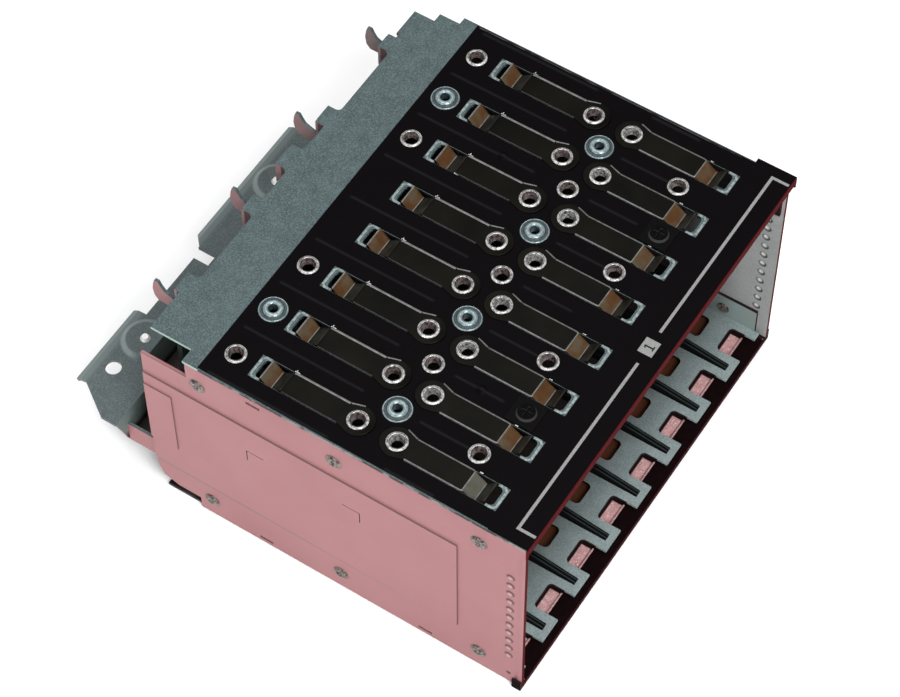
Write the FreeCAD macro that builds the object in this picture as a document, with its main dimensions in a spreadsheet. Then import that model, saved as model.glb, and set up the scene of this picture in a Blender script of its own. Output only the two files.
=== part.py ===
import FreeCAD, Part
import Sketcher
import os

# Hot swap cage for eight small drives that stand on edge, side by side.
# X runs across the bays, Y from the open front to the back, Z up.
# The origin is the middle of the pan's underside, which the cage rests on.

doc = FreeCAD.newDocument("DriveCage")
sheet = doc.addObject("Spreadsheet::Sheet", "Sizes")

# Millimetres. Places called ...Place are distances behind the front edge.
sizes = {
    # body
    "bayCount": 8,
    "bayWidth": 15.0,
    "railWidth": 2.8,
    "sheetThickness": 1.0,
    "bodyHeight": 82.0,
    "bodyDepth": 126.0,
    "windowCorner": 1.5,
    # top cover
    "lipDepth": 12.0,
    "lipForward": 0.9,
    "lipLeftOverhang": 1.0,
    "lipRightOverhang": 2.55,
    "lipFold": 0.6,
    "lipSkirt": 4.5,
    "coverEave": 2.0,
    "frontHemDrop": 3.0,
    "coverFlangeDrop": 15.5,
    "coverFlangeEnd": 111.5,
    "stripStart": 112.0,
    "stripStepPlace": 119.0,
    "stripLeft": 68.2,
    "stripRight": 67.0,
    "stepRight": 70.15,
    "ribWidth": 1.2,
    "ribDrop": 0.8,
    "rearRibStart": 64.0,
    "rearRibEnd": 104.0,
    "frontRibStart": 29.5,
    "frontRibEnd": 45.5,
    # tabs, recesses and notches along the cover's rear edge
    "firstTabLeft": -53.4,
    "firstTabRight": -47.6,
    "secondTabLeft": -21.25,
    "secondTabRight": -16.15,
    "middleTabLeft": -2.6,
    "middleTabRight": 5.8,
    "thirdTabLeft": 17.35,
    "thirdTabRight": 23.35,
    "fourthTabLeft": 49.7,
    "fourthTabRight": 54.5,
    "tabReach": 1.9,
    "middleTabReach": 3.0,
    "recessDepth": 2.2,
    "notchDepth": 1.3,
    "cornerNotchWidth": 2.5,
    "cornerNotchDepth": 0.8,
    # hooks and legs that hang from the tabs
    "hookThickness": 1.0,
    "hookFrontPlace": 116.2,
    "hookDrop": 10.2,
    "hookThroatDrop": 6.0,
    "hookBackReach": 9.8,
    "hookNeckReach": 1.8,
    "legFrontPlace": 121.0,
    "legDrop": 8.5,
    # film on the cover
    "filmThickness": 0.25,
    "filmMargin": 0.2,
    "filmSideMargin": 0.5,
    "filmEnd": 107.0,
    "filmWindowWidth": 8.0,
    "filmWindowEndWidth": 8.2,
    "filmWindowEndStart": 29.4,
    "filmWindowReach": 34.1,
    "bumpRadius": 1.6,
    "bumpRise": 0.6,
    "rearBumpPlace": 74.6,
    "frontBumpPlace": 36.8,
    # leaf springs; their field lies a little left of the bays' middle
    "fieldShift": 0.6,
    "springThickness": 0.3,
    "springWidth": 7.7,
    "springTipWidth": 6.8,
    "springHeadRadius": 5.0,
    "springHingeReach": 4.2,
    "springHingeGap": 0.3,
    "springFlatReach": 23.2,
    "springDipReach": 26.9,
    "springTipReach": 30.1,
    "springDip": 2.6,
    "springTipRise": 0.9,
    "springSlotStart": 19.0,
    "springSlotNeck": 30.4,
    "springSlotReach": 32.5,
    "springSlotWidth": 7.6,
    "springSlotEndWidth": 6.4,
    "rearSpringPlace": 60.0,
    "frontSpringPlace": 47.1,
    # eyelets, rivets and screws
    "shankClearance": 0.05,
    "eyeletRadius": 3.0,
    "eyeletShank": 2.4,
    "eyeletBore": 2.0,
    "eyeletRise": 0.7,
    "rearEyeletPlace": 100.6,
    "middleEyeletPlace": 52.6,
    "frontEyeletPlace": 26.3,
    "domeRadius": 4.0,
    "domeShank": 2.6,
    "domeBore": 1.6,
    "domeRise": 1.0,
    "domeFoot": 3.4,
    "middleDomePlace": 52.8,
    "rearDomePlace": 100.3,
    "sideRivetShank": 1.5,
    "sideRivetRadius": 2.5,
    "sideRivetRise": 0.8,
    "sideRivetFrontPlace": 15.0,
    "sideRivetMiddlePlace": 62.5,
    "sideRivetRearPlace": 108.5,
    "sideRivetDrop": 11.2,
    "sideRivetHeight": 8.3,
    "screwPadSide": 9.0,
    "screwPadThickness": 0.3,
    "screwPlace": 22.3,
    "screwHeadRadius": 3.0,
    "screwHeadRise": 0.8,
    "screwShank": 1.4,
    "screwLength": 3.2,
    "screwSlotWidth": 0.7,
    "screwSlotLength": 3.6,
    "screwSlotDepth": 0.5,
    # side panels
    "panelDepth": 128.0,
    "panelTopDrop": 2.0,
    "panelGap": 0.4,
    "panelBottomRise": 0.4,
    "panelStepPlace": 112.3,
    "panelStepDrop": 10.0,
    "panelHeelPlace": 113.0,
    "panelHeelHeight": 5.5,
    "panelHeelCorner": 7.0,
    "panelToeDepth": 3.4,
    "panelToeHeight": 2.5,
    "hemDepth": 1.4,
    "hemProud": 0.3,
    "fieldFront": 22.0,
    "fieldBottom": 17.0,
    "fieldTopDrop": 19.5,
    "fieldProud": 0.5,
    "smallFieldFront": 118.5,
    "smallFieldBottom": 29.0,
    "smallFieldTopDrop": 25.0,
    "smallFieldProud": 0.4,
    "dimpleCount": 11,
    "dimplePitch": 4.5,
    "dimpleDrop": 20.8,
    "dimplePlace": 4.7,
    "dimpleSphere": 2.5,
    "dimpleProud": 0.5,
    "lanceWidth": 0.35,
    "lanceLength": 6.0,
    "rearLancePlace": 87.0,
    "frontLancePlace": 54.2,
    "lanceDrop": 31.7,
    "slotLength": 4.6,
    "slotHeight": 1.2,
    "topSlotPlace": 87.0,
    "topSlotDrop": 6.2,
    "lowSlotHeight": 1.7,
    "lowSlotFrontPlace": 31.0,
    "cornerHoleRadius": 0.8,
    "cornerHoleHeight": 5.3,
    # bottom pan and its front strip
    "panFlangeHeight": 14.0,
    "panFlangeStart": 3.6,
    "panFlangeEnd": 112.5,
    "panHemDepth": 6.4,
    "panHemHeight": 2.0,
    "panLipDepth": 3.0,
    "panLipHeight": 4.5,
    "panRearWallHeight": 15.0,
    "panRearWallInset": 4.0,
    "panFilmThickness": 0.2,
    "panFilmDepth": 5.8,
    # guide plate and rails
    "guideTop": 4.5,
    "guideThickness": 0.9,
    "guideSideGap": 0.05,
    "guideEnd": 117.0,
    "toothFront": 1.9,
    "toothWidth": 8.5,
    "toothRoot": 10.4,
    "guideWindowStart": 17.0,
    "guideWindowEnd": 27.0,
    "guideWindowWidth": 8.0,
    "railStart": 4.0,
    "railEnd": 116.0,
    "railSlotGap": 0.15,
    "railThickness": 2.2,
    "railHeight": 5.9,
    "railNoseLength": 14.0,
    "railNoseHeight": 3.9,
    "railGrooveWidth": 0.6,
    "railGrooveDepth": 0.6,
    # rear bracket
    "bracketThickness": 1.0,
    "shelfHeight": 16.0,
    "bracketFlangeDrop": 12.0,
    "earRiserPlace": 139.8,
    "riserPlace": 146.0,
    "plateHeight": 29.0,
    "plateEnd": 155.5,
    "barEnd": 154.4,
    "gapStart": 149.1,
    "backLipDepth": 3.7,
    "backLipDrop": 1.6,
    "earLeft": 75.6,
    "earCornerPlace": 144.3,
    "earLipLeft": 67.9,
    "earRiserRight": 53.6,
    "earRight": 38.9,
    "barRight": 14.2,
    "middleLeft": 10.3,
    "middleRight": 43.8,
    "middleLipCorner": 4.2,
    "tabHeight": 7.5,
    "tabStart": 114.0,
    "earHoleAcross": 59.6,
    "earHolePlace": 151.5,
    "earHoleRadius": 2.5,
    "earBossAcross": 46.5,
    "middleBossAcross": 22.8,
    "bossPlace": 149.2,
    "bossRadius": 7.3,
    "bossSlope": 1.2,
    "bossRise": 1.0,
    "bossHollowRadius": 3.0,
    "pinRadius": 1.0,
    "pinRise": 1.0,
    "bracketRivetSpread": 45.0,
    "bracketRivetCentre": 10.0,
    "bracketRivetHeight": 9.0,
    # backplane
    "boardPlace": 117.5,
    "boardThickness": 1.6,
    "boardSideInset": 3.8,
    "boardTopDrop": 6.0,
    "boardNotchWidth": 1.6,
    "boardNotchDepth": 2.2,
    "boardFootWidth": 8.0,
    "boardFootSpread": 30.0,
    "boardFootDrop": 0.8,
    "boardSlotGap": 0.2,
    "driveConnectorWidth": 6.4,
    "driveConnectorDepth": 8.5,
    "driveConnectorBottom": 19.0,
    "driveConnectorLength": 34.0,
    "driveSocketWidth": 2.4,
    "driveSocketLength": 30.0,
    "driveSocketDepth": 6.0,
    "powerConnectorAcross": 22.0,
    "powerConnectorLeft": 4.0,
    "powerConnectorBottom": 44.0,
    "powerConnectorHeight": 10.0,
    "powerConnectorDepth": 10.4,
    "powerSocketMargin": 1.2,
    "powerSocketDepth": 8.0,
    "dataConnectorAcross": 17.0,
    "dataConnectorHeight": 8.0,
    "dataConnectorDepth": 10.0,
    "dataConnectorPitch": 22.0,
    "dataConnectorRight": 12.0,
    "dataSocketHeight": 4.8,
    "dataSocketDepth": 8.0,
    "dataSocketMargin": 1.2,
}


class Size(object):
    # A length that knows both its number and the sheet expression that gives it.
    def __init__(self, number, words):
        self.number = number
        self.words = words

    def __add__(self, other):
        other = size(other)
        return Size(self.number + other.number, "(%s + %s)" % (self.words, other.words))

    def __sub__(self, other):
        other = size(other)
        return Size(self.number - other.number, "(%s - %s)" % (self.words, other.words))

    def __mul__(self, factor):
        factor = size(factor)
        return Size(self.number * factor.number, "(%s * %s)" % (self.words, factor.words))

    def __truediv__(self, divisor):
        divisor = size(divisor)
        return Size(self.number / divisor.number, "(%s / %s)" % (self.words, divisor.words))

    def __neg__(self):
        return Size(-self.number, "(-1 * %s)" % self.words)


def size(thing):
    # A Size stays as it is; a plain count or factor becomes one.
    return thing if isinstance(thing, Size) else Size(thing, repr(thing))


class Sizes(object):
    pass


d = Sizes()
for row, (alias, number) in enumerate(sizes.items(), start=1):
    sheet.set("A%d" % row, alias)
    sheet.set("B%d" % row, str(number))
    sheet.setAlias("B%d" % row, alias)
    setattr(d, alias, Size(number, "Sizes.%s" % alias))
doc.recompute()


def bind(thing, prop, length):
    thing.setExpression(prop, size(length).words)


def bindBase(thing, corner):
    for letter, length in zip("xyz", corner):
        bind(thing, "Placement.Base.%s" % letter, length)


def box(name, x, y, z):
    # A block between the low and high limits on each axis.
    block = doc.addObject("Part::Box", name)
    for prop, limits in zip(("Length", "Width", "Height"), (x, y, z)):
        bind(block, prop, size(limits[1]) - limits[0])
    bindBase(block, (x[0], y[0], z[0]))
    return block


def aim(axis):
    # Turns a Z axis to X or Y.
    turns = {
        "x": FreeCAD.Rotation(FreeCAD.Vector(0, 1, 0), 90),
        "y": FreeCAD.Rotation(FreeCAD.Vector(1, 0, 0), -90),
        "z": FreeCAD.Rotation(),
    }
    return turns[axis]


def rod(name, axis, radius, ends, across):
    # A cylinder along an axis; across gives the other two coordinates in x, y, z order.
    cylinder = doc.addObject("Part::Cylinder", name)
    cylinder.Placement = FreeCAD.Placement(FreeCAD.Vector(), aim(axis))
    bind(cylinder, "Radius", radius)
    bind(cylinder, "Height", size(ends[1]) - ends[0])
    corner = list(across)
    corner.insert("xyz".index(axis), ends[0])
    bindBase(cylinder, corner)
    return cylinder


def cone(name, axis, radii, ends, across):
    taper = doc.addObject("Part::Cone", name)
    taper.Placement = FreeCAD.Placement(FreeCAD.Vector(), aim(axis))
    bind(taper, "Radius1", radii[0])
    bind(taper, "Radius2", radii[1])
    bind(taper, "Height", size(ends[1]) - ends[0])
    corner = list(across)
    corner.insert("xyz".index(axis), ends[0])
    bindBase(taper, corner)
    return taper


def ball(name, radius, centre):
    sphere = doc.addObject("Part::Sphere", name)
    bind(sphere, "Radius", radius)
    bindBase(sphere, centre)
    return sphere


def outline(sketch, points):
    # A closed polygon whose corners are tied to the sheet.
    origin = -1
    corners = [FreeCAD.Vector(size(u).number, size(v).number, 0) for u, v in points]
    count = len(corners)
    for i in range(count):
        sketch.addGeometry(Part.LineSegment(corners[i], corners[(i + 1) % count]), False)
    for i in range(count):
        sketch.addConstraint(Sketcher.Constraint("Coincident", i, 2, (i + 1) % count, 1))
    for i, (u, v) in enumerate(points):
        for kind, length in (("DistanceX", u), ("DistanceY", v)):
            rule = Sketcher.Constraint(kind, origin, 1, i, 1, size(length).number)
            index = sketch.addConstraint(rule)
            bind(sketch, "Constraints[%d]" % index, length)


def newBody(name):
    return doc.addObject("PartDesign::Body", name)


def bodySketch(body, name, role, points, offset=0.0):
    # A sketch on one of the body's own origin planes, moved along that plane's normal.
    plane = [f for f in body.Origin.OriginFeatures if f.Role == role][0]
    sketch = body.newObject("Sketcher::SketchObject", name)
    sketch.AttachmentSupport = (plane, [""])
    sketch.MapMode = "FlatFace"
    bind(sketch, "AttachmentOffset.Base.z", offset)
    outline(sketch, points)
    return sketch


def pad(body, name, sketch, length):
    feature = body.newObject("PartDesign::Pad", name)
    feature.Profile = sketch
    feature.Midplane = False
    bind(feature, "Length", length)
    body.Tip = feature
    return feature


def pocket(body, name, sketch, depth, backwards=False):
    # Cuts into the body and makes sure that something was removed.
    doc.recompute()
    before = body.Shape.Volume
    feature = body.newObject("PartDesign::Pocket", name)
    feature.Profile = sketch
    feature.Reversed = backwards
    bind(feature, "Length", depth)
    body.Tip = feature
    doc.recompute()
    if body.Shape.Volume >= before:
        raise RuntimeError("pocket %s cuts nothing" % name)
    return feature


def slab(name, role, points, low, high):
    # A body with one pad between two planes square to the sketch.
    body = newBody(name)
    sketch = bodySketch(body, name + "Outline", role, points, low)
    pad(body, name + "Pad", sketch, size(high) - low)
    return body


def fuse(name, pieces):
    joined = doc.addObject("Part::MultiFuse", name)
    joined.Shapes = pieces
    joined.Refine = True
    return joined


def cut(name, base, tools):
    # One boolean takes all the tools away from the base.
    result = doc.addObject("Part::Cut", name)
    result.Base = base
    result.Tool = tools[0] if len(tools) == 1 else fuse(name + "Tools", tools)
    result.Refine = True
    return result


nodes = []


def node(label, thing):
    # Marks an object as a finished sub-part: its label names its file.
    thing.Label = label
    nodes.append(thing)
    return thing


# ---- places that several sub-parts share -------------------------------------------------

bays = int(sizes["bayCount"])
pitch = d.bayWidth + d.railWidth
thick = d.sheetThickness
innerHalf = pitch * d.bayCount / 2 - d.railWidth / 2
flangeHalf = innerHalf + thick
panelHalf = flangeHalf + thick
lipLeft = panelHalf + d.lipLeftOverhang
lipRight = panelHalf + d.lipRightOverhang
eaveHalf = flangeHalf + d.coverEave
top = d.bodyHeight
underTop = top - thick
filmTop = top + d.filmThickness


def back(place):
    # Y of a distance behind the front edge.
    return size(place) - d.bodyDepth / 2


def bayCentre(i):
    # Bays are counted from the left, from 0.
    return pitch * (i - (bays - 1) / 2.0)


def boundary(i):
    # The line between bay i and bay i + 1, counted from the left, from 0.
    return pitch * (i + 1 - bays / 2.0)


def springX(i):
    # the middle of the springs of bay i
    return bayCentre(i) - d.fieldShift


def lineX(i):
    # the middle between the springs of bay i and bay i + 1
    return boundary(i) - d.fieldShift


boundaries = range(bays - 1)
oddBoundaries = [i for i in boundaries if i % 2 == 0]
evenBoundaries = [i for i in boundaries if i % 2 == 1]
screwBoundaries = [evenBoundaries[0], evenBoundaries[-1]]
domeBays = [1, bays - 2]
eyeletBays = [0, 2, bays - 3, bays - 1]
edgeTabs = (
    (d.firstTabLeft, d.firstTabRight, d.tabReach),
    (d.secondTabLeft, d.secondTabRight, d.tabReach),
    (d.middleTabLeft, d.middleTabRight, d.middleTabReach),
    (d.thirdTabLeft, d.thirdTabRight, d.tabReach),
    (d.fourthTabLeft, d.fourthTabRight, d.tabReach),
)
# the left faces of the hooks, which stand outside four of the tabs
hookPlaces = (d.firstTabLeft - d.hookThickness, d.secondTabRight,
              d.thirdTabLeft - d.hookThickness, d.fourthTabRight)
boardFront = d.boardPlace
boardBack = boardFront + d.boardThickness
springRows = (("rear", d.rearSpringPlace, 1), ("front", d.frontSpringPlace, -1))


def along(place, direction, reach):
    # Y of a point that lies reach away from a spring's root, towards its tip.
    return back(place) + size(reach) * direction


def ordered(a, b):
    return (a, b) if a.number < b.number else (b, a)


def bothSides(name, x, y, z):
    # Two mirrored blocks, left and right.
    left = box(name + "Left", (-size(x[1]), -size(x[0])), y, z)
    right = box(name + "Right", x, y, z)
    return [left, right]


# Where shanks pass through the cover: x, y and radius of each.
eyeletSpots = [(springX(i), back(d.rearEyeletPlace)) for i in eyeletBays]
eyeletSpots += [(lineX(i), back(d.middleEyeletPlace)) for i in evenBoundaries]
eyeletSpots += [(lineX(i), back(d.frontEyeletPlace)) for i in oddBoundaries]
rootSpots = [(springX(i), back(place)) for _, place, _ in springRows for i in range(bays)]
domeSpots = [(lineX(i), back(d.middleDomePlace)) for i in oddBoundaries]
domeSpots += [(springX(i), back(d.rearDomePlace)) for i in domeBays]
screwSpots = [(lineX(i), back(d.screwPlace)) for i in screwBoundaries]


def shankHoles(name, z):
    # Clearance holes for every eyelet, rivet and screw that goes through the cover.
    holes = []
    groups = ((eyeletSpots + rootSpots, d.eyeletShank), (domeSpots, d.domeShank), (screwSpots, d.screwShank))
    for spots, shank in groups:
        for x, y in spots:
            hole = rod("%sHole%d" % (name, len(holes)), "z", shank + d.shankClearance, z, (x, y))
            holes.append(hole)
    return holes


def roundedWindow(name, x, y, z, corners):
    # A cutter with two rounded corners at its rear, or at both ends.
    r = d.windowCorner
    pieces = [
        box(name + "Wide", x, (y[0] + (r if corners == 4 else 0), y[1] - r), z),
        box(name + "Narrow", (x[0] + r, x[1] - r), y, z),
    ]
    ends = [y[1] - r] + ([y[0] + r] if corners == 4 else [])
    for n, end in enumerate(ends):
        pieces.append(rod("%sCornerA%d" % (name, n), "z", r, z, (x[0] + r, end)))
        pieces.append(rod("%sCornerB%d" % (name, n), "z", r, z, (x[1] - r, end)))
    return fuse(name, pieces)


# ---- top cover -----------------------------------------------------------------------------

def makeCoverEdge():
    # The rear strip of the cover, with tabs behind it and recesses and notches between them.
    skin = (underTop, top)
    rear = back(d.bodyDepth)
    pieces = [box("EdgeStrip", (-d.stripLeft, d.stripRight), (back(d.stripStepPlace), rear), skin)]
    for n, (left, right, reach) in enumerate(edgeTabs):
        pieces.append(box("EdgeTab%d" % n, (left, right), (back(d.stripStepPlace), rear + reach), skin))
    beyond = rear + d.middleTabReach * 2
    depths = (d.recessDepth, d.notchDepth, d.notchDepth, d.recessDepth)
    tools = []
    for n, depth in enumerate(depths):
        gap = (edgeTabs[n][1], edgeTabs[n + 1][0])
        tools.append(roundedWindow("EdgeGap%d" % n, gap, (rear - depth, beyond), skin, 4))
    tools.append(box("CornerNotch", (d.fourthTabRight, d.fourthTabRight + d.cornerNotchWidth),
                     (rear - d.cornerNotchDepth, beyond), skin))
    return cut("CoverEdge", fuse("CoverEdgeBlank", pieces), tools)


def makeTopCover():
    skin = (underTop, top)
    lipFront = back(-d.lipForward)
    pieces = [
        box("CoverSkin", (-eaveHalf, eaveHalf), (back(0), back(d.stripStart)), skin),
        box("CoverStrip", (-d.stripLeft, d.stepRight),
            (back(d.stripStart), back(d.stripStepPlace)), skin),
        makeCoverEdge(),
        box("CoverLip", (-lipLeft, lipRight), (lipFront, back(d.lipDepth)), skin),
        box("CoverHem", (-lipLeft, lipRight), (lipFront, lipFront + thick), (top - d.frontHemDrop, top)),
        box("CoverSkirtLeft", (-lipLeft, d.lipFold - lipLeft), (lipFront, back(d.lipDepth)),
            (top - d.lipSkirt, top)),
        box("CoverSkirtRight", (lipRight - d.lipFold, lipRight), (lipFront, back(d.lipDepth)),
            (top - d.lipSkirt, top)),
    ]
    pieces += bothSides("CoverFlange", (innerHalf, flangeHalf), (back(thick), back(d.coverFlangeEnd)),
                        (top - d.coverFlangeDrop, top))
    for i in boundaries:
        middle = lineX(i)
        width = (middle - d.ribWidth / 2, middle + d.ribWidth / 2)
        drop = (underTop - d.ribDrop, underTop)
        pieces.append(box("RearRib%d" % i, width, (back(d.rearRibStart), back(d.rearRibEnd)), drop))
        pieces.append(box("FrontRib%d" % i, width, (back(d.frontRibStart), back(d.frontRibEnd)), drop))
    for n, x in enumerate(hookPlaces):
        pieces.append(makeHook("Hook%d" % n, x))
    for n, (left, right, reach) in enumerate(edgeTabs[1:]):
        # a leg folded down from the tab's left side
        pieces.append(box("Leg%d" % n, (left, left + d.hookThickness),
                          (back(d.legFrontPlace), back(d.bodyDepth) + reach), (top - d.legDrop, top)))

    tools = shankHoles("Cover", (underTop - d.ribDrop, filmTop))
    for row, place, direction in springRows:
        neck = along(place, direction, d.springSlotNeck)
        end = along(place, direction, d.springSlotReach)
        wide = ordered(along(place, direction, d.springSlotStart), neck)
        narrow = ordered(neck - d.windowCorner * direction * 2, end)
        for i in range(bays):
            x = springX(i)
            half = d.springSlotWidth / 2
            tools.append(box("%sSlot%d" % (row, i), (x - half, x + half), wide, (underTop, top)))
            half = d.springSlotEndWidth / 2
            tools.append(roundedWindow("%sSlotEnd%d" % (row, i), (x - half, x + half), narrow, (underTop, top), 4))
    return cut("TopCover", fuse("TopCoverSheet", pieces), tools)


def makeHook(name, x):
    # A plate that hangs from the edge, slit for the backplane in front and hooked upwards behind.
    rear = back(d.bodyDepth)
    low = top - d.hookDrop
    throat = top - d.hookThroatDrop
    neck = rear + d.hookNeckReach
    far = rear + d.hookBackReach
    slit = (back(boardFront) - d.boardSlotGap, back(boardBack) + d.boardSlotGap)
    slitTop = low + d.boardNotchDepth
    t = d.hookThickness
    points = [
        (back(d.hookFrontPlace), low),
        (slit[0], low),
        (slit[0], slitTop),
        (slit[1], slitTop),
        (slit[1], low),
        (far - t * 1.7, low),
        (far - t * 0.4, low + t * 1.7),
        (far, low + t * 4.7),
        (far - t * 0.4, low + t * 7.5),
        (far - t * 0.9, top - t),
        (far - t * 2.2, top - t * 0.9),
        (far - t * 3.0, throat + t * 3.4),
        (far - t * 4.0, throat + t * 1.8),
        (far - t * 5.6, throat + t),
        (neck, throat),
        (neck, top),
        (back(d.hookFrontPlace), top),
    ]
    return slab(name, "YZ_Plane", points, x, x + t)


node("top_cover", makeTopCover())


# ---- film on the cover, with the small pressed bumps that it follows ------------------------

def makeTopFilm():
    skin = (top, filmTop)
    margin = d.filmMargin
    pieces = [
        box("FilmBody", (d.filmSideMargin - eaveHalf, eaveHalf - d.filmSideMargin),
            (back(margin), back(d.filmEnd)), skin),
        box("FilmLip", (margin - lipLeft, lipRight - margin),
            (back(margin - d.lipForward), back(d.lipDepth - margin)), skin),
    ]
    bumpSphere = (d.bumpRadius * d.bumpRadius + d.bumpRise * d.bumpRise) / (d.bumpRise * 2)
    bumps = ((screwBoundaries[-1], d.rearBumpPlace), (screwBoundaries[0], d.frontBumpPlace))
    caps = []
    for i, place in bumps:
        caps.append(ball("Bump%d" % i, bumpSphere, (lineX(i), back(place), filmTop + d.bumpRise - bumpSphere)))
    above = box("AboveCover", (-flangeHalf, flangeHalf), (back(0), back(d.filmEnd)), (top, top + d.bodyHeight))
    domes = doc.addObject("Part::Common", "BumpDomes")
    domes.Base = fuse("BumpBalls", caps)
    domes.Tool = above

    tools = shankHoles("Film", (top, filmTop))
    for row, place, direction in springRows:
        start = along(place, direction, d.springHingeReach + d.springHingeGap)
        wide = along(place, direction, d.filmWindowEndStart)
        end = along(place, direction, d.filmWindowReach)
        for i in range(bays):
            x = springX(i)
            half = d.filmWindowWidth / 2
            tools.append(box("%sWindow%d" % (row, i), (x - half, x + half), ordered(start, end), skin))
            half = d.filmWindowEndWidth / 2
            tools.append(roundedWindow("%sWindowEnd%d" % (row, i), (x - half, x + half), ordered(wide, end), skin, 4))
    return cut("TopFilm", fuse("TopFilmSheet", pieces + [domes]), tools)


node("top_film", makeTopFilm())


# ---- leaf springs: a head held by its eyelet, and a blade that flexes ----------------------

def makeBlade(row, i, place, direction):
    x = springX(i)
    low = filmTop
    high = low + d.springThickness
    dipLow = low - d.springDip
    start = d.springHingeReach + d.springHingeGap / 2

    def at(reach, z):
        return (along(place, direction, reach), z)

    flat = [at(start, low), at(d.springFlatReach, low), at(d.springFlatReach, high), at(start, high)]
    tip = [
        at(d.springFlatReach, low),
        at(d.springDipReach, dipLow),
        at(d.springTipReach, low + d.springTipRise),
        at(d.springTipReach, high + d.springTipRise),
        at(d.springDipReach, dipLow + d.springThickness * 1.3),
        at(d.springFlatReach, high),
    ]
    name = "%sSpring%d" % (row, i)
    body = newBody(name)
    for part, points, width in (("Flat", flat, d.springWidth), ("Tip", tip, d.springTipWidth)):
        sketch = bodySketch(body, name + part + "Side", "YZ_Plane", points, x - width / 2)
        pad(body, name + part, sketch, width)
    return body


def makeHead(row, i, place, direction):
    x = springX(i)
    skin = (filmTop, filmTop + d.springThickness)
    end = d.springHingeReach - d.springHingeGap / 2
    span = ordered(back(place), along(place, direction, end))
    half = d.springWidth / 2
    neck = box("%sNeck%d" % (row, i), (x - half, x + half), span, skin)
    disc = rod("%sDisc%d" % (row, i), "z", d.springHeadRadius, skin, (x, back(place)))
    # the round head stops where the blade begins
    beyond = ordered(along(place, direction, end), along(place, direction, end + d.springHeadRadius))
    trim = box("%sTrim%d" % (row, i), (x - d.springHeadRadius, x + d.springHeadRadius), beyond, skin)
    hole = rod("%sEye%d" % (row, i), "z", d.eyeletShank + d.shankClearance, skin, (x, back(place)))
    return cut("%sHead%d" % (row, i), fuse("%sHeadBlank%d" % (row, i), [neck, disc]), [trim, hole])


heads = []
for row, place, direction in springRows:
    for i in range(bays):
        node("%s_spring_%d" % (row, i + 1), makeBlade(row, i, place, direction))
        heads.append(makeHead(row, i, place, direction))


def compound(label, pieces):
    # Identical pieces share one node, each as a solid of its own.
    group = doc.addObject("Part::Compound", label.title().replace("_", ""))
    group.Links = pieces
    return node(label, group)


compound("spring_heads", heads)


# ---- eyelets, rivets and screws of the cover ------------------------------------------------

def makeEyelet(name, x, y, seat):
    # A rolled rim on top, a hollow shank, and a flare under the cover.
    rim = cone(name + "Rim", "z", (d.eyeletRadius, d.eyeletRadius - d.eyeletRise / 2),
               (seat, seat + d.eyeletRise), (x, y))
    shank = rod(name + "Shank", "z", d.eyeletShank, (underTop - d.eyeletRise, seat), (x, y))
    flare = rod(name + "Flare", "z", d.eyeletRadius, (underTop - d.eyeletRise, underTop), (x, y))
    bore = rod(name + "Bore", "z", d.eyeletBore, (underTop - d.eyeletRise, seat + d.eyeletRise), (x, y))
    return cut(name, fuse(name + "Blank", [rim, shank, flare]), [bore])


def makeDomeRivet(name, x, y):
    rim = cone(name + "Rim", "z", (d.domeRadius, d.domeRadius - d.domeRise),
               (filmTop, filmTop + d.domeRise), (x, y))
    dish = cone(name + "Dish", "z", (d.domeBore, d.domeRadius - d.domeRise * 1.3),
                (filmTop + d.domeRise / 4, filmTop + d.domeRise), (x, y))
    shank = rod(name + "Shank", "z", d.domeShank, (underTop - d.eyeletRise, filmTop), (x, y))
    foot = rod(name + "Foot", "z", d.domeFoot, (underTop - d.eyeletRise, underTop), (x, y))
    bore = rod(name + "Bore", "z", d.domeBore, (underTop - d.eyeletRise, filmTop + d.domeRise), (x, y))
    return cut(name, fuse(name + "Blank", [rim, shank, foot]), [bore, dish])


def makeCoverScrew(name, x, y):
    seat = filmTop + d.screwPadThickness
    crown = seat + d.screwHeadRise
    head = cone(name + "Head", "z", (d.screwHeadRadius, d.screwHeadRadius - d.screwHeadRise / 2),
                (seat, crown), (x, y))
    shank = rod(name + "Shank", "z", d.screwShank, (seat - d.screwLength, seat), (x, y))
    half = d.screwSlotLength / 2
    thin = d.screwSlotWidth / 2
    depth = (crown - d.screwSlotDepth, crown)
    slots = [
        box(name + "SlotX", (x - half, x + half), (y - thin, y + thin), depth),
        box(name + "SlotY", (x - thin, x + thin), (y - half, y + half), depth),
    ]
    return cut(name, fuse(name + "Blank", [head, shank]), slots)


def makeScrewPad(name, x, y):
    skin = (filmTop, filmTop + d.screwPadThickness)
    half = d.screwPadSide / 2
    pad = box(name + "Blank", (x - half, x + half), (y - half, y + half), skin)
    hole = rod(name + "Hole", "z", d.screwShank + d.shankClearance, skin, (x, y))
    return cut(name, pad, [hole])


compound("spring_eyelets", [makeEyelet("SpringEyelet%d" % n, x, y, filmTop + d.springThickness)
                            for n, (x, y) in enumerate(rootSpots)])
compound("plain_eyelets", [makeEyelet("PlainEyelet%d" % n, x, y, filmTop) for n, (x, y) in enumerate(eyeletSpots)])
compound("cover_rivets", [makeDomeRivet("DomeRivet%d" % n, x, y) for n, (x, y) in enumerate(domeSpots)])
compound("screw_pads", [makeScrewPad("ScrewPad%d" % n, x, y) for n, (x, y) in enumerate(screwSpots)])
compound("cover_screws", [makeCoverScrew("CoverScrew%d" % n, x, y) for n, (x, y) in enumerate(screwSpots)])


# ---- side panels and their rivets ------------------------------------------------------------

rivetPlaces = (d.sideRivetFrontPlace, d.sideRivetMiddlePlace, d.sideRivetRearPlace)
rivetHeights = (top - d.sideRivetDrop, d.sideRivetHeight)


def rectangle(low, high):
    return [(low[0], low[1]), (high[0], low[1]), (high[0], high[1]), (low[0], high[1])]


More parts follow.
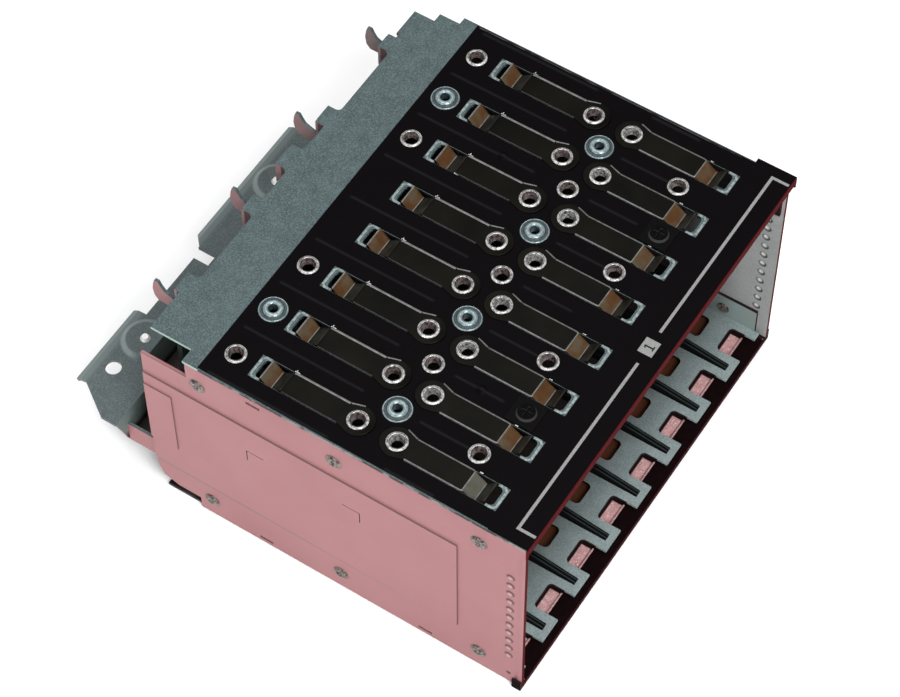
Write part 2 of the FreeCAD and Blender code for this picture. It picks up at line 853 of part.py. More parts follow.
def makeSidePanel(name, side):
    # side is -1 on the left and 1 on the right; proud() gives a slice outside the sheet.
    outer = panelHalf * side
    inner = flangeHalf * side

    def slice_(fromX, toX):
        return ordered(fromX, toX)

    def proud(amount):
        return slice_(outer - thick * side / 2, outer + size(amount) * side)

    panelTop = top - d.panelTopDrop
    hemTop = top - d.frontHemDrop - d.panelGap
    hemBack = thick + d.panelGap
    fieldTop = top - d.fieldTopDrop
    sheetOutline = [
        (back(0), d.panelToeHeight),
        (back(d.panelToeDepth), d.panelToeHeight),
        (back(d.panelToeDepth), d.panelBottomRise),
        (back(d.panelHeelPlace), d.panelBottomRise),
        (back(d.panelHeelPlace), d.panelHeelHeight),
        (back(d.panelDepth - d.panelHeelCorner), d.panelHeelHeight),
        (back(d.panelDepth - d.panelHeelCorner * 0.3), d.panelHeelHeight + d.panelHeelCorner * 0.3),
        (back(d.panelDepth), d.panelHeelHeight + d.panelHeelCorner),
        (back(d.panelDepth), top - d.panelStepDrop),
        (back(d.panelStepPlace), top - d.panelStepDrop),
        (back(d.panelStepPlace), panelTop),
        (back(hemBack), panelTop),
        (back(hemBack), hemTop),
        (back(0), hemTop),
    ]
    low, high = slice_(inner, outer)
    sheetBody = slab(name + "Sheet", "YZ_Plane", sheetOutline, low, high)
    low, high = proud(d.hemProud)
    hem = slab(name + "Hem", "YZ_Plane", rectangle((back(0), d.panelToeHeight), (back(d.hemDepth), hemTop)), low, high)
    low, high = proud(d.fieldProud)
    field = slab(name + "Field", "YZ_Plane",
                 rectangle((back(d.fieldFront), d.fieldBottom), (back(d.panelDepth), fieldTop)), low, high)
    low, high = proud(d.fieldProud + d.smallFieldProud)
    small = slab(name + "SmallField", "YZ_Plane",
                 rectangle((back(d.smallFieldFront), d.smallFieldBottom),
                           (back(d.panelDepth), top - d.smallFieldTopDrop)), low, high)
    pieces = [sheetBody, hem, field, small]
    tools = []
    # the field is pressed out of the sheet, so its back is hollow
    hollow = slice_(inner, inner + d.fieldProud * side)
    tools.append(box(name + "Hollow", hollow, (back(d.fieldFront + thick), back(d.panelDepth)),
                     (d.fieldBottom + thick, fieldTop - thick)))
    across = slice_(inner - thick * side, outer + size(thick) * 2 * side)
    ballCentre = outer + (d.dimpleProud - d.dimpleSphere) * side
    for n in range(int(sizes["dimpleCount"])):
        z = top - d.dimpleDrop - d.dimplePitch * n
        pieces.append(ball("%sDimple%d" % (name, n), d.dimpleSphere, (ballCentre, back(d.dimplePlace), z)))
        tools.append(ball("%sDent%d" % (name, n), d.dimpleSphere,
                          (ballCentre - thick * side, back(d.dimplePlace), z)))
    # the dimple balls reach further in than the sheet, so what lies inside it goes
    tools.append(box(name + "Inside", slice_(inner - d.dimpleSphere * 2 * side, inner),
                     (back(0), back(d.dimplePlace * 2)), (size(0), top)))
    for n, place in enumerate(rivetPlaces):
        for m, z in enumerate(rivetHeights):
            tools.append(rod("%sRivetHole%d%d" % (name, n, m), "x", d.sideRivetShank + d.shankClearance,
                             across, (back(place), z)))
    for n, (place, hookEnd) in enumerate(((d.rearLancePlace, 1), (d.frontLancePlace, 0))):
        start = place
        end = place + d.lanceLength
        foot = end - d.lanceWidth if hookEnd else start
        lance = top - d.lanceDrop
        tools.append(box("%sLance%d" % (name, n), across, (back(start), back(end)),
                         (lance, lance + d.lanceWidth)))
        tools.append(box("%sLanceFoot%d" % (name, n), across, (back(foot), back(foot + d.lanceWidth)),
                         (lance - d.lanceLength * 0.8, lance)))
    slotSpots = ((d.topSlotPlace, top - d.topSlotDrop), (d.topSlotPlace, d.lowSlotHeight),
                 (d.lowSlotFrontPlace, d.lowSlotHeight))
    for n, (place, z) in enumerate(slotSpots):
        tools.append(box("%sSlot%d" % (name, n), across, (back(place), back(place + d.slotLength)),
                         (z, z + d.slotHeight)))
    tools.append(rod(name + "CornerHole", "x", d.cornerHoleRadius, across,
                     (back(d.dimplePlace), d.cornerHoleHeight)))
    return cut(name, fuse(name + "Blank", pieces), tools)


def makeSideRivet(name, side, y, z):
    # through the side panel and the flange behind it
    shank = rod(name + "Shank", "x", d.sideRivetShank, ordered(innerHalf * side, panelHalf * side), (y, z))
    ends = ordered(panelHalf * side, (panelHalf + d.sideRivetRise) * side)
    radii = (d.sideRivetRadius, d.sideRivetRadius - d.sideRivetRise / 2)
    head = cone(name + "Head", "x", radii if side > 0 else radii[::-1], ends, (y, z))
    tail = rod(name + "Tail", "x", d.sideRivetRadius - d.sideRivetRise / 2,
               ordered((innerHalf - d.sideRivetRise / 2) * side, innerHalf * side), (y, z))
    dish = rod(name + "Dish", "x", d.sideRivetShank * 0.6,
               ordered((panelHalf + d.sideRivetRise / 4) * side, (panelHalf + d.sideRivetRise) * side), (y, z))
    return cut(name, fuse(name + "Blank", [shank, head, tail]), [dish])


for word, side in (("left", -1), ("right", 1)):
    node("side_panel_%s" % word, makeSidePanel("Panel%s" % word.title(), side))
    rivets = []
    for place in rivetPlaces:
        for z in rivetHeights:
            rivets.append(makeSideRivet("Rivet%s%d" % (word.title(), len(rivets)), side, back(place), z))
    compound("side_rivets_%s" % word, rivets)


def flangeHoles(name, z):
    # holes for one row of side rivets, right through both flanges of a channel
    holes = []
    for n, place in enumerate(rivetPlaces):
        holes.append(rod("%sFlangeHole%d" % (name, n), "x", d.sideRivetShank + d.shankClearance,
                         (-panelHalf, panelHalf), (back(place), z)))
    return holes


# the cover's flanges carry the upper row
cover = nodes[0]
cover.Label = "cover_without_rivet_holes"
nodes[0] = cut("TopCoverFinished", cover, flangeHoles("Cover", rivetHeights[0]))
nodes[0].Label = "top_cover"


# ---- bottom pan and the film strip on its front ------------------------------------------------

bracketRivetXs = [-d.bracketRivetCentre - d.bracketRivetSpread, -d.bracketRivetCentre,
                  d.bracketRivetSpread - d.bracketRivetCentre]


def boardFootSpans(gap):
    # x limits of the board's two feet, widened by a gap for their slots
    spans = []
    for side in (-1, 1):
        x = d.boardFootSpread * side
        spans.append((x - d.boardFootWidth / 2 - gap, x + d.boardFootWidth / 2 + gap))
    return spans


def makePan():
    floor = (size(0), thick)
    pieces = [
        box("PanFloor", (-flangeHalf, flangeHalf), (back(0), back(d.bodyDepth)), floor),
        box("PanHem", (-innerHalf, innerHalf), (back(0), back(d.panHemDepth)), (size(0), d.panHemHeight)),
        box("PanLip", (-lipLeft, lipLeft), (back(0), back(d.panLipDepth)), (size(0), d.panHemHeight)),
        box("PanRearWall", (d.panRearWallInset - innerHalf, innerHalf - d.panRearWallInset),
            (back(d.bodyDepth - thick), back(d.bodyDepth)), (size(0), d.panRearWallHeight)),
    ]
    pieces += bothSides("PanLipEnd", (lipLeft - d.lipFold, lipLeft), (back(0), back(d.panLipDepth)),
                        (size(0), d.panLipHeight))
    pieces += bothSides("PanFlange", (innerHalf, flangeHalf), (back(d.panFlangeStart), back(d.panFlangeEnd)),
                        (size(0), d.panFlangeHeight))
    tools = flangeHoles("Pan", rivetHeights[1])
    for n, span in enumerate(boardFootSpans(d.boardSlotGap)):
        tools.append(box("BoardSlot%d" % n, span,
                         (back(boardFront - d.boardSlotGap), back(boardBack + d.boardSlotGap)), floor))
    for n, x in enumerate(bracketRivetXs):
        tools.append(rod("PanRivetHole%d" % n, "y", d.sideRivetShank + d.shankClearance,
                         (back(d.bodyDepth - thick), back(d.bodyDepth)), (x, d.bracketRivetHeight)))
    return cut("BottomPan", fuse("BottomPanSheet", pieces), tools)


node("bottom_pan", makePan())
node("front_film_strip", box("FrontFilmStrip", (d.filmMargin - innerHalf, innerHalf - d.filmMargin),
                             (back(d.filmMargin), back(d.panFilmDepth)),
                             (d.panHemHeight, d.panHemHeight + d.panFilmThickness)))


# ---- bottom guide plate and rails -------------------------------------------------------------

def makeGuidePlate():
    skin = (d.guideTop - d.guideThickness, d.guideTop)
    half = innerHalf - d.guideSideGap
    pieces = [box("GuideSheet", (-half, half), (back(d.toothFront), back(d.guideEnd)), skin)]
    pieces += bothSides("GuideFoot", (half - thick, half), (back(d.toothRoot + thick), back(d.guideEnd)),
                        (thick, d.guideTop))
    tools = []
    for i in range(bays):
        x = bayCentre(i)
        side = (pitch - d.toothWidth) / 2
        tools.append(roundedWindow("ToothGap%d" % i, (x - side, x + side),
                                   (back(0), back(d.toothRoot)), skin, 2))
        side = d.guideWindowWidth / 2
        tools.append(roundedWindow("GuideWindow%d" % i, (x - side, x + side),
                                   (back(d.guideWindowStart), back(d.guideWindowEnd)), skin, 4))
    for i in boundaries:
        x = boundary(i)
        side = d.railThickness / 2 + d.railSlotGap
        tools.append(box("RailSlot%d" % i, (x - side, x + side),
                         (back(d.railStart - d.railSlotGap), back(d.railEnd + d.railSlotGap)), skin))
    return cut("GuidePlate", fuse("GuidePlateSheet", pieces), tools)


def makeRail(i):
    name = "Rail%d" % i
    crest = thick + d.railHeight
    chin = d.guideTop - d.guideThickness
    side = [
        (back(d.railStart), chin),
        (back(d.panHemDepth + thick), chin),
        (back(d.panHemDepth + thick), thick),
        (back(d.railEnd), thick),
        (back(d.railEnd), crest),
        (back(d.railStart + d.railNoseLength), crest),
        (back(d.railStart), thick + d.railNoseHeight),
    ]
    x = boundary(i)
    body = newBody(name)
    profile = bodySketch(body, name + "Side", "YZ_Plane", side, x - d.railThickness / 2)
    pad(body, name + "Pad", profile, d.railThickness)
    groove = [
        (back(d.railStart - 1), crest - d.railGrooveDepth),
        (back(d.railEnd + 1), crest - d.railGrooveDepth),
        (back(d.railEnd + 1), crest + 1),
        (back(d.railStart - 1), crest + 1),
    ]
    line = bodySketch(body, name + "Groove", "YZ_Plane", groove, x - d.railGrooveWidth / 2)
    pocket(body, name + "GrooveCut", line, d.railGrooveWidth, True)
    return body


node("bottom_guide_plate", makeGuidePlate())
for i in boundaries:
    node("guide_rail_%d" % (i + 1), makeRail(i))


# ---- rear bracket --------------------------------------------------------------------------------

def makeBracket():
    t = d.bracketThickness
    shelf = (d.shelfHeight - t, d.shelfHeight)
    plate = (d.plateHeight - t, d.plateHeight)
    left = -flangeHalf
    pieces = [
        box("Shelf", (left, d.middleRight), (back(d.bodyDepth), back(d.earRiserPlace)), shelf),
        box("ShelfBack", (-d.earRiserRight, d.middleRight), (back(d.earRiserPlace), back(d.riserPlace)), shelf),
        box("ShelfFlange", (d.panRearWallInset - innerHalf, d.middleRight),
            (back(d.bodyDepth), back(d.bodyDepth + t)), (d.shelfHeight - d.bracketFlangeDrop, d.shelfHeight)),
        box("SideTab", (left, left + t), (back(d.tabStart), back(d.earRiserPlace)),
            (d.shelfHeight, d.shelfHeight + d.tabHeight)),
        box("SideTabRoot", (left, left + t), (back(d.bodyDepth), back(d.earRiserPlace)),
            (d.shelfHeight - t, d.shelfHeight + t)),
        box("Riser", (-d.earRiserRight, d.middleRight), (back(d.riserPlace - t), back(d.riserPlace)),
            (d.shelfHeight - t, d.plateHeight)),
        box("Bar", (-d.earRight, -d.barRight), (back(d.riserPlace - t), back(d.barEnd)), plate),
        box("BarLink", (-d.barRight, -d.middleLeft), (back(d.riserPlace - t), back(d.gapStart)), plate),
        box("MiddlePlate", (-d.middleLeft, d.middleRight), (back(d.riserPlace - t), back(d.plateEnd)), plate),
    ]
    earOutline = [
        (-d.earLeft, back(d.earRiserPlace - t)),
        (-d.earRiserRight, back(d.earRiserPlace - t)),
        (-d.earRiserRight, back(d.riserPlace - t)),
        (-d.earRight, back(d.riserPlace - t)),
        (-d.earRight, back(d.plateEnd)),
        (-d.earLipLeft, back(d.plateEnd)),
        (-d.earLeft, back(d.earCornerPlace)),
    ]
    pieces.append(slab("EarPlate", "XY_Plane", earOutline, plate[0], plate[1]))
    # the ear's riser narrows from the plate down to the shelf: seen from behind, in X and Z
    riser = [
        (-d.earLeft, d.plateHeight),
        (left, d.shelfHeight - t),
        (-d.earRiserRight, d.shelfHeight - t),
        (-d.earRiserRight, d.plateHeight),
    ]
    pieces.append(slab("EarRiser", "XZ_Plane", riser, -back(d.earRiserPlace), -back(d.earRiserPlace - t)))
    # the lip behind the plate curls down
    bend = back(d.plateEnd)
    far = bend + d.backLipDepth
    curl = [
        (bend, plate[0]),
        (bend, plate[1]),
        (bend + d.backLipDepth / 2, plate[1] - d.backLipDrop / 6),
        (far, plate[1] - d.backLipDrop),
        (far - t * 0.6, plate[0] - d.backLipDrop),
        (bend + d.backLipDepth / 2, plate[0] - d.backLipDrop / 4),
    ]
    pieces.append(slab("EarLip", "YZ_Plane", curl, -d.earLipLeft, -d.earRight))
    pieces.append(slab("MiddleLip", "YZ_Plane", curl, -d.middleLeft, d.middleRight))
    corner = d.middleLipCorner
    cornerOutline = [
        (-d.middleLeft - t, bend),
        (-d.middleLeft + t / 2, bend),
        (-d.middleLeft + corner + t, far + t / 2),
        (-d.middleLeft - t, far + t / 2),
    ]
    tools = [slab("MiddleLipCorner", "XY_Plane", cornerOutline, plate[0] - d.backLipDrop * 2, plate[1] + t)]
    for n, x in enumerate((-d.earBossAcross, d.middleBossAcross)):
        # a round swelling whose front the riser's bend cuts off
        swelling = cone("BossDome%d" % n, "z", (d.bossRadius, d.bossRadius - d.bossSlope),
                        (d.plateHeight, d.plateHeight + d.bossRise), (x, back(d.bossPlace)))
        front = box("BossFront%d" % n, (x - d.bossRadius, x + d.bossRadius),
                    (back(d.bossPlace - d.bossRadius), back(d.riserPlace - t)),
                    (d.plateHeight, d.plateHeight + d.bossRise))
        pieces.append(cut("Boss%d" % n, swelling, [front]))
        tools.append(rod("BossHollow%d" % n, "z", d.bossHollowRadius,
                         (plate[0], plate[0] + d.bossRise), (x, back(d.bossPlace))))
        tools.append(rod("PinHole%d" % n, "z", d.pinRadius + d.shankClearance,
                         (plate[0], d.plateHeight + d.bossRise), (x, back(d.bossPlace))))
    tools.append(rod("EarHole", "z", d.earHoleRadius, plate, (-d.earHoleAcross, back(d.earHolePlace))))
    for n, x in enumerate(bracketRivetXs):
        tools.append(rod("BracketRivetHole%d" % n, "y", d.sideRivetShank + d.shankClearance,
                         (back(d.bodyDepth), back(d.bodyDepth + t)), (x, d.bracketRivetHeight)))
    return cut("RearBracket", fuse("RearBracketSheet", pieces), tools)


def makeBracketRivet(name, x):
    # through the pan's rear wall and the bracket's flange
    z = d.bracketRivetHeight
    front = back(d.bodyDepth - thick)
    rear = back(d.bodyDepth + d.bracketThickness)
    rise = d.sideRivetRise / 2
    pieces = [
        rod(name + "Shank", "y", d.sideRivetShank, (front, rear), (x, z)),
        rod(name + "Tail", "y", d.sideRivetRadius - rise, (front - rise, front), (x, z)),
        cone(name + "Head", "y", (d.sideRivetRadius, d.sideRivetRadius - rise), (rear, rear + rise), (x, z)),
    ]
    return fuse(name, pieces)


def makeBossPin(name, x):
    # a stud with a wide head that stands in a boss
    seat = d.plateHeight + d.bossRise
    spot = (x, back(d.bossPlace))
    shank = rod(name + "Shank", "z", d.pinRadius, (d.plateHeight - d.bracketThickness + d.bossRise, seat), spot)
    head = cone(name + "Head", "z", (d.pinRadius * 1.6, d.pinRadius), (seat, seat + d.pinRise), spot)
    return fuse(name, [shank, head])


node("rear_bracket", makeBracket())
compound("bracket_rivets", [makeBracketRivet("BracketRivet%d" % n, x) for n, x in enumerate(bracketRivetXs)])
compound("boss_pins", [makeBossPin("EarPin", -d.earBossAcross),
                       makeBossPin("MiddlePin", d.middleBossAcross)])


# ---- backplane board and its connectors ---------------------------------------------------------

def makeBoard():
    half = flangeHalf - d.boardSideInset - thick
    crest = top - d.boardTopDrop
    skin = (back(boardFront), back(boardBack))
    pieces = [box("BoardBlank", (-half, half), skin, (thick, crest))]
    for n, span in enumerate(boardFootSpans(0)):
        pieces.append(box("BoardFoot%d" % n, span, skin, (thick - d.boardFootDrop, thick)))
    tools = []
    for n, x in enumerate(hookPlaces):
        middle = x + d.hookThickness / 2
        tools.append(box("BoardNotch%d" % n, (middle - d.boardNotchWidth / 2, middle + d.boardNotchWidth / 2),
                         skin, (crest - d.boardNotchDepth, crest)))
    return cut("Board", fuse("BoardSheet", pieces), tools)


def makeDriveConnector(i):
    x = bayCentre(i)
    face = back(boardFront - d.driveConnectorDepth)
    bottom = d.driveConnectorBottom
    middle = bottom + d.driveConnectorLength / 2
    block = box("DriveBlock%d" % i, (x - d.driveConnectorWidth / 2, x + d.driveConnectorWidth / 2),
                (face, back(boardFront)), (bottom, bottom + d.driveConnectorLength))
    socket = box("DriveSocket%d" % i, (x - d.driveSocketWidth / 2, x + d.driveSocketWidth / 2),
                 (face, face + d.driveSocketDepth),
                 (middle - d.driveSocketLength / 2, middle + d.driveSocketLength / 2))
    return cut("DriveConnector%d" % i, block, [socket])


def makePowerConnector():
    left = d.powerConnectorLeft
    low = d.powerConnectorBottom
    face = back(boardBack + d.powerConnectorDepth)
    block = box("PowerBlock", (left, left + d.powerConnectorAcross), (back(boardBack), face),
                (low, low + d.powerConnectorHeight))
    margin = d.powerSocketMargin
    socket = box("PowerSocket", (left + margin, left + d.powerConnectorAcross - margin),
                 (face - d.powerSocketDepth, face), (low + margin, low + d.powerConnectorHeight - margin))
    return cut("PowerConnector", block, [socket])


def makeDataConnector(n):
    right = -d.dataConnectorRight - d.dataConnectorPitch * n
    left = right - d.dataConnectorAcross
    low = d.powerConnectorBottom
    face = back(boardBack + d.dataConnectorDepth)
    margin = d.dataSocketMargin
    block = box("DataBlock%d" % n, (left, right), (back(boardBack), face), (low, low + d.dataConnectorHeight))
    socket = box("DataSocket%d" % n, (left + margin, right - margin), (face - d.dataSocketDepth, face),
                 (low + margin, low + margin + d.dataSocketHeight))
    return cut("DataConnector%d" % n, block, [socket])


node("backplane_board", makeBoard())
for i in range(bays):
    node("drive_connector_%d" % (i + 1), makeDriveConnector(i))
node("power_connector", makePowerConnector())
compound("data_connectors", [makeDataConnector(n) for n in range(2)])


# ---- check everything, then write one file per node ---------------------------------------------

doc.recompute()
for thing in doc.Objects:
    if "Invalid" in thing.State or "Error" in thing.State:
        raise RuntimeError("%s failed: %s" % (thing.Name, thing.State))
for thing in nodes:
    if thing.Shape.isNull() or not thing.Shape.isValid() or not thing.Shape.Solids:
        raise RuntimeError("%s has no good shape" % thing.Label)

os.makedirs("parts", exist_ok=True)
for thing in nodes:
    thing.Shape.exportStep("parts/%s.step" % thing.Label)
    bounds = thing.Shape.BoundBox
    print("%-20s %2d solids  x %7.2f %7.2f  y %7.2f %7.2f  z %6.2f %6.2f" % (
        thing.Label, len(thing.Shape.Solids), bounds.XMin, bounds.XMax,
        bounds.YMin, bounds.YMax, bounds.ZMin, bounds.ZMax))
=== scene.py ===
import bpy
import bmesh
import math
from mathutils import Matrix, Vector


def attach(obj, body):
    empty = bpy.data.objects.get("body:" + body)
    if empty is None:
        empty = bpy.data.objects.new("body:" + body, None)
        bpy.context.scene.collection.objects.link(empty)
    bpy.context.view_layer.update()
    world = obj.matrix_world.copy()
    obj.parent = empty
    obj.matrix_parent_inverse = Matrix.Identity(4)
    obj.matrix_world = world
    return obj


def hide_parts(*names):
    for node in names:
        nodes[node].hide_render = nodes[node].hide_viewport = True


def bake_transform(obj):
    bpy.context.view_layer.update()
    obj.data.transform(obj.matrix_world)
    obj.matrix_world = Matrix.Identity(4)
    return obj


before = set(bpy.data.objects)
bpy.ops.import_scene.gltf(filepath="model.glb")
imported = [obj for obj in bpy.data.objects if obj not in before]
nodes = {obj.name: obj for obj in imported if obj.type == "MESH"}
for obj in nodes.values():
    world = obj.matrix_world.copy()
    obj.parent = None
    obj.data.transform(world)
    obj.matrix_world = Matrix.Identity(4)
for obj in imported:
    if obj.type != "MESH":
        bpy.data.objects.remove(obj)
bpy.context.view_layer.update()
print("frame loaded:", len(nodes), "nodes")

# millimetres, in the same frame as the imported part
mm = 0.001
bays = 8
pitch = 17.8
front = -63.0            # the body's front edge
coverTop = 82.0
coverUnderside = 81.0
filmTop = 82.25
springTop = 82.55
fieldShift = 0.6         # the spring field lies a little left of the body's middle


def bayX(i):
    # the middle of a bay's springs
    return pitch * (i - 3.5) - fieldShift


def lineX(i):
    # the line between two bays
    return pitch * (i - 3) - fieldShift


# ---- materials ----

class Mat:
    # one material and short ways to add nodes to it
    def __init__(self, name, color=(0.5, 0.5, 0.5), rough=0.5, metal=0.0, spec=0.5):
        self.mat = bpy.data.materials.new(name)
        self.mat.use_nodes = True
        self.tree = self.mat.node_tree
        self.shader = self.tree.nodes["Principled BSDF"]
        self.set("Base Color", (*color, 1))
        self.set("Roughness", rough)
        self.set("Metallic", metal)
        self.set("Specular IOR Level", spec)

    def set(self, socket, value):
        self.shader.inputs[socket].default_value = value

    def node(self, kind, **props):
        # props that start with i_ are input sockets
        n = self.tree.nodes.new(kind)
        for key, value in props.items():
            if key.startswith("i_"):
                n.inputs[key[2:].replace("_", " ")].default_value = value
            else:
                setattr(n, key, value)
        return n

    def link(self, a, b):
        self.tree.links.new(a, b)

    def place(self):
        # object coordinates, in metres
        if not hasattr(self, "coord"):
            self.coord = self.node("ShaderNodeTexCoord")
        return self.coord.outputs["Object"]

    def where(self):
        # x, y and z of the spot
        n = self.node("ShaderNodeSeparateXYZ")
        self.link(self.place(), n.inputs[0])
        return tuple(n.outputs)

    def direction(self):
        # x, y and z of the way the surface faces
        self.place()
        n = self.node("ShaderNodeSeparateXYZ")
        self.link(self.coord.outputs["Normal"], n.inputs[0])
        return {"X": n.outputs[0], "Y": n.outputs[1], "Z": n.outputs[2]}

    def noise(self, scale, detail=3.0, rough=0.55):
        n = self.node("ShaderNodeTexNoise", i_Scale=scale, i_Detail=detail, i_Roughness=rough)
        self.link(self.place(), n.inputs["Vector"])
        return n.outputs["Fac"]

    def cells(self, scale, feature="F1"):
        n = self.node("ShaderNodeTexVoronoi", i_Scale=scale, feature=feature)
        self.link(self.place(), n.inputs["Vector"])
        return n.outputs["Distance"]

    def math(self, kind, a, b=None):
        n = self.node("ShaderNodeMath", operation=kind)
        for k, v in enumerate((a, b)):
            if v is None:
                continue
            if isinstance(v, (int, float)):
                n.inputs[k].default_value = v
            else:
                self.link(v, n.inputs[k])
        return n.outputs["Value"]

    def times(self, a, b):
        return self.math("MULTIPLY", a, b)

    def plus(self, a, b):
        return self.math("ADD", a, b)

    def rest(self, value):
        return self.math("SUBTRACT", 1.0, value)

    def length(self, u, v):
        return self.math("SQRT", self.plus(self.times(u, u), self.times(v, v)))

    def band(self, value, low, high):
        # 0 below low, 1 above high
        n = self.node("ShaderNodeMapRange")
        n.inputs["From Min"].default_value = low
        n.inputs["From Max"].default_value = high
        self.link(value, n.inputs["Value"])
        return n.outputs["Result"]

    def past(self, value, low, high):
        # as band, with the limits in millimetres
        return self.band(value, low * mm, high * mm)

    def before(self, value, low, high):
        # 1 below low, 0 above high, in millimetres
        return self.band(self.times(value, -1.0), -high * mm, -low * mm)

    def span(self, value, rise, fall):
        # 1 between the two edges, each given by its two ends in millimetres
        return self.times(self.past(value, *rise), self.before(value, *fall))

    def facing(self, axis, low, high):
        # 1 where the surface faces along an axis such as "-X"
        way = self.direction()[axis[-1]]
        if axis[0] == "-":
            way = self.times(way, -1.0)
        return self.band(way, low, high)

    def ramp(self, fac, stops):
        n = self.node("ShaderNodeValToRGB")
        for element, (at, color) in zip(n.color_ramp.elements, (stops[0], stops[-1])):
            element.position = at
            element.color = (*color, 1)
        for at, color in stops[1:-1]:
            n.color_ramp.elements.new(at).color = (*color, 1)
        self.link(fac, n.inputs["Fac"])
        return n.outputs["Color"]

    def mottle(self, scale, low, high, detail=3, ends=(0.3, 0.7)):
        # a noise that runs between two colours
        return self.ramp(self.noise(scale, detail), [(ends[0], low), (ends[1], high)])

    def mix(self, fac, a, b):
        n = self.node("ShaderNodeMix", data_type="RGBA")
        for socket, v in ((n.inputs[0], fac), (n.inputs[6], a), (n.inputs[7], b)):
            if isinstance(v, tuple):
                socket.default_value = (*v, 1)
            elif isinstance(v, (int, float)):
                socket.default_value = v
            else:
                self.link(v, socket)
        return n.outputs[2]

    def color(self, socket):
        self.link(socket, self.shader.inputs["Base Color"])

    def roughness(self, socket, low, high):
        n = self.node("ShaderNodeMapRange")
        n.inputs["To Min"].default_value = low
        n.inputs["To Max"].default_value = high
        self.link(socket, n.inputs["Value"])
        self.link(n.outputs["Result"], self.shader.inputs["Roughness"])

    def dull(self, mask, spec):
        # no gloss where the mask is 1
        self.link(self.times(self.rest(mask), spec), self.shader.inputs["Specular IOR Level"])

    def bump(self, height, distance, strength=0.5):
        n = self.node("ShaderNodeBump", i_Distance=distance, i_Strength=strength)
        self.link(height, n.inputs["Height"])
        if self.shader.inputs["Normal"].is_linked:
            self.link(self.shader.inputs["Normal"].links[0].from_socket, n.inputs["Normal"])
        self.link(n.outputs["Normal"], self.shader.inputs["Normal"])


tints = {
    "pinkReflection": (0.298, 0.128, 0.134),      # painted pink reflection, on the sides and other surfaces
    "maroonReflection": (0.070, 0.007, 0.009),    # painted dark-red reflection on front-facing faces and front edges
    "shade": (0.004, 0.003, 0.003),     # deep inside
    "eave": (0.26, 0.37, 0.33),
}


def zinc(name, dark, light):
    # galvanised sheet: a fine speckle with soft cloudy spangles
    m = Mat(name, light, 0.5, 0.1, 0.25)
    speckle = m.cells(2100)
    clouds = m.noise(240, 4)
    grain = m.noise(3000, 2)
    fac = m.plus(m.plus(m.times(speckle, 0.4), m.times(clouds, 0.3)), m.times(grain, 0.35))
    m.skin = m.ramp(fac, [(0.34, dark), (0.68, light)])
    m.color(m.skin)
    m.roughness(clouds, 0.42, 0.62)
    m.bump(speckle, 0.00002, 0.5)
    return m


coverLook = {                     # each pair: where a change of tone, mostly painted reflection and shade, starts and ends
    "hookFade": (-50, 60),
    "hookStart": (63.8, 64.2),
    "hookRoot": (57.5, 57.7),
    "eaveStart": (43.6, 44.0),
    "skirtTop": (80.8, 81.0),
    "leftEdge": (-67.8, -67.6),
    "frontRim": (-63.4, -63.2),
    "frontFace": (-60, -58),
}


def makeCoverZinc():
    # painted pink reflection on the hooks and the left skirt, pale on the left eave, painted shade inside
    # the slots, painted dark-red reflection in front
    m = zinc("coverZinc", (0.026, 0.041, 0.044), (0.084, 0.117, 0.121))
    x, y, z = m.where()
    # painted pink reflection on the hooks' left faces, stronger towards the left
    hookReflection = m.mix(m.before(x, *coverLook["hookFade"]), (0.145, 0.108, 0.110), (0.25, 0.120, 0.124))
    # painted shade on the left walls of the slots, and dark-red painted shade on the legs under the hooks
    side = m.mix(m.past(y, *coverLook["hookRoot"]), tints["shade"], (0.055, 0.022, 0.023))
    side = m.mix(m.past(y, *coverLook["hookStart"]), side, hookReflection)
    rubs = m.mix(m.band(m.noise(170, 2), 0.52, 0.60), (0.020, 0.008, 0.008), (0.20, 0.18, 0.17))
    eave = m.mix(m.before(y, *coverLook["eaveStart"]), tints["eave"], rubs)
    # painted pink reflection on the skirt below the eave
    skirt = m.mix(m.past(z, *coverLook["skirtTop"]), tints["pinkReflection"], eave)
    side = m.mix(m.before(x, *coverLook["leftEdge"]), side, skirt)
    skin = m.mix(m.facing("-X", 0.45, 0.75), m.skin, side)
    # painted dark-red reflection on the front rim and on faces that look forward
    rim = m.before(y, *coverLook["frontRim"])
    frontFaceReflection = m.times(m.facing("-Y", 0.55, 0.85), m.before(y, *coverLook["frontFace"]))
    skin = m.mix(rim, skin, tints["maroonReflection"])
    m.color(m.mix(frontFaceReflection, skin, tints["maroonReflection"]))
    m.dull(m.math("MAXIMUM", rim, frontFaceReflection), 0.25)
    return m


bracket = {
    "bosses": ((-46.5, 86.2), (22.8, 86.2)),
    "bossRimHighlight": ((5.6, 6.4), (7.0, 7.8)),
    "bossRear": (83.5, 87.0),         # the painted rim highlights show on their rear half
    "lipHighlightStart": (91.5, 93.5),
    "tabTop": (23.4, 23.6),
    "shelfShadeTop": (17.5, 20.0),
}


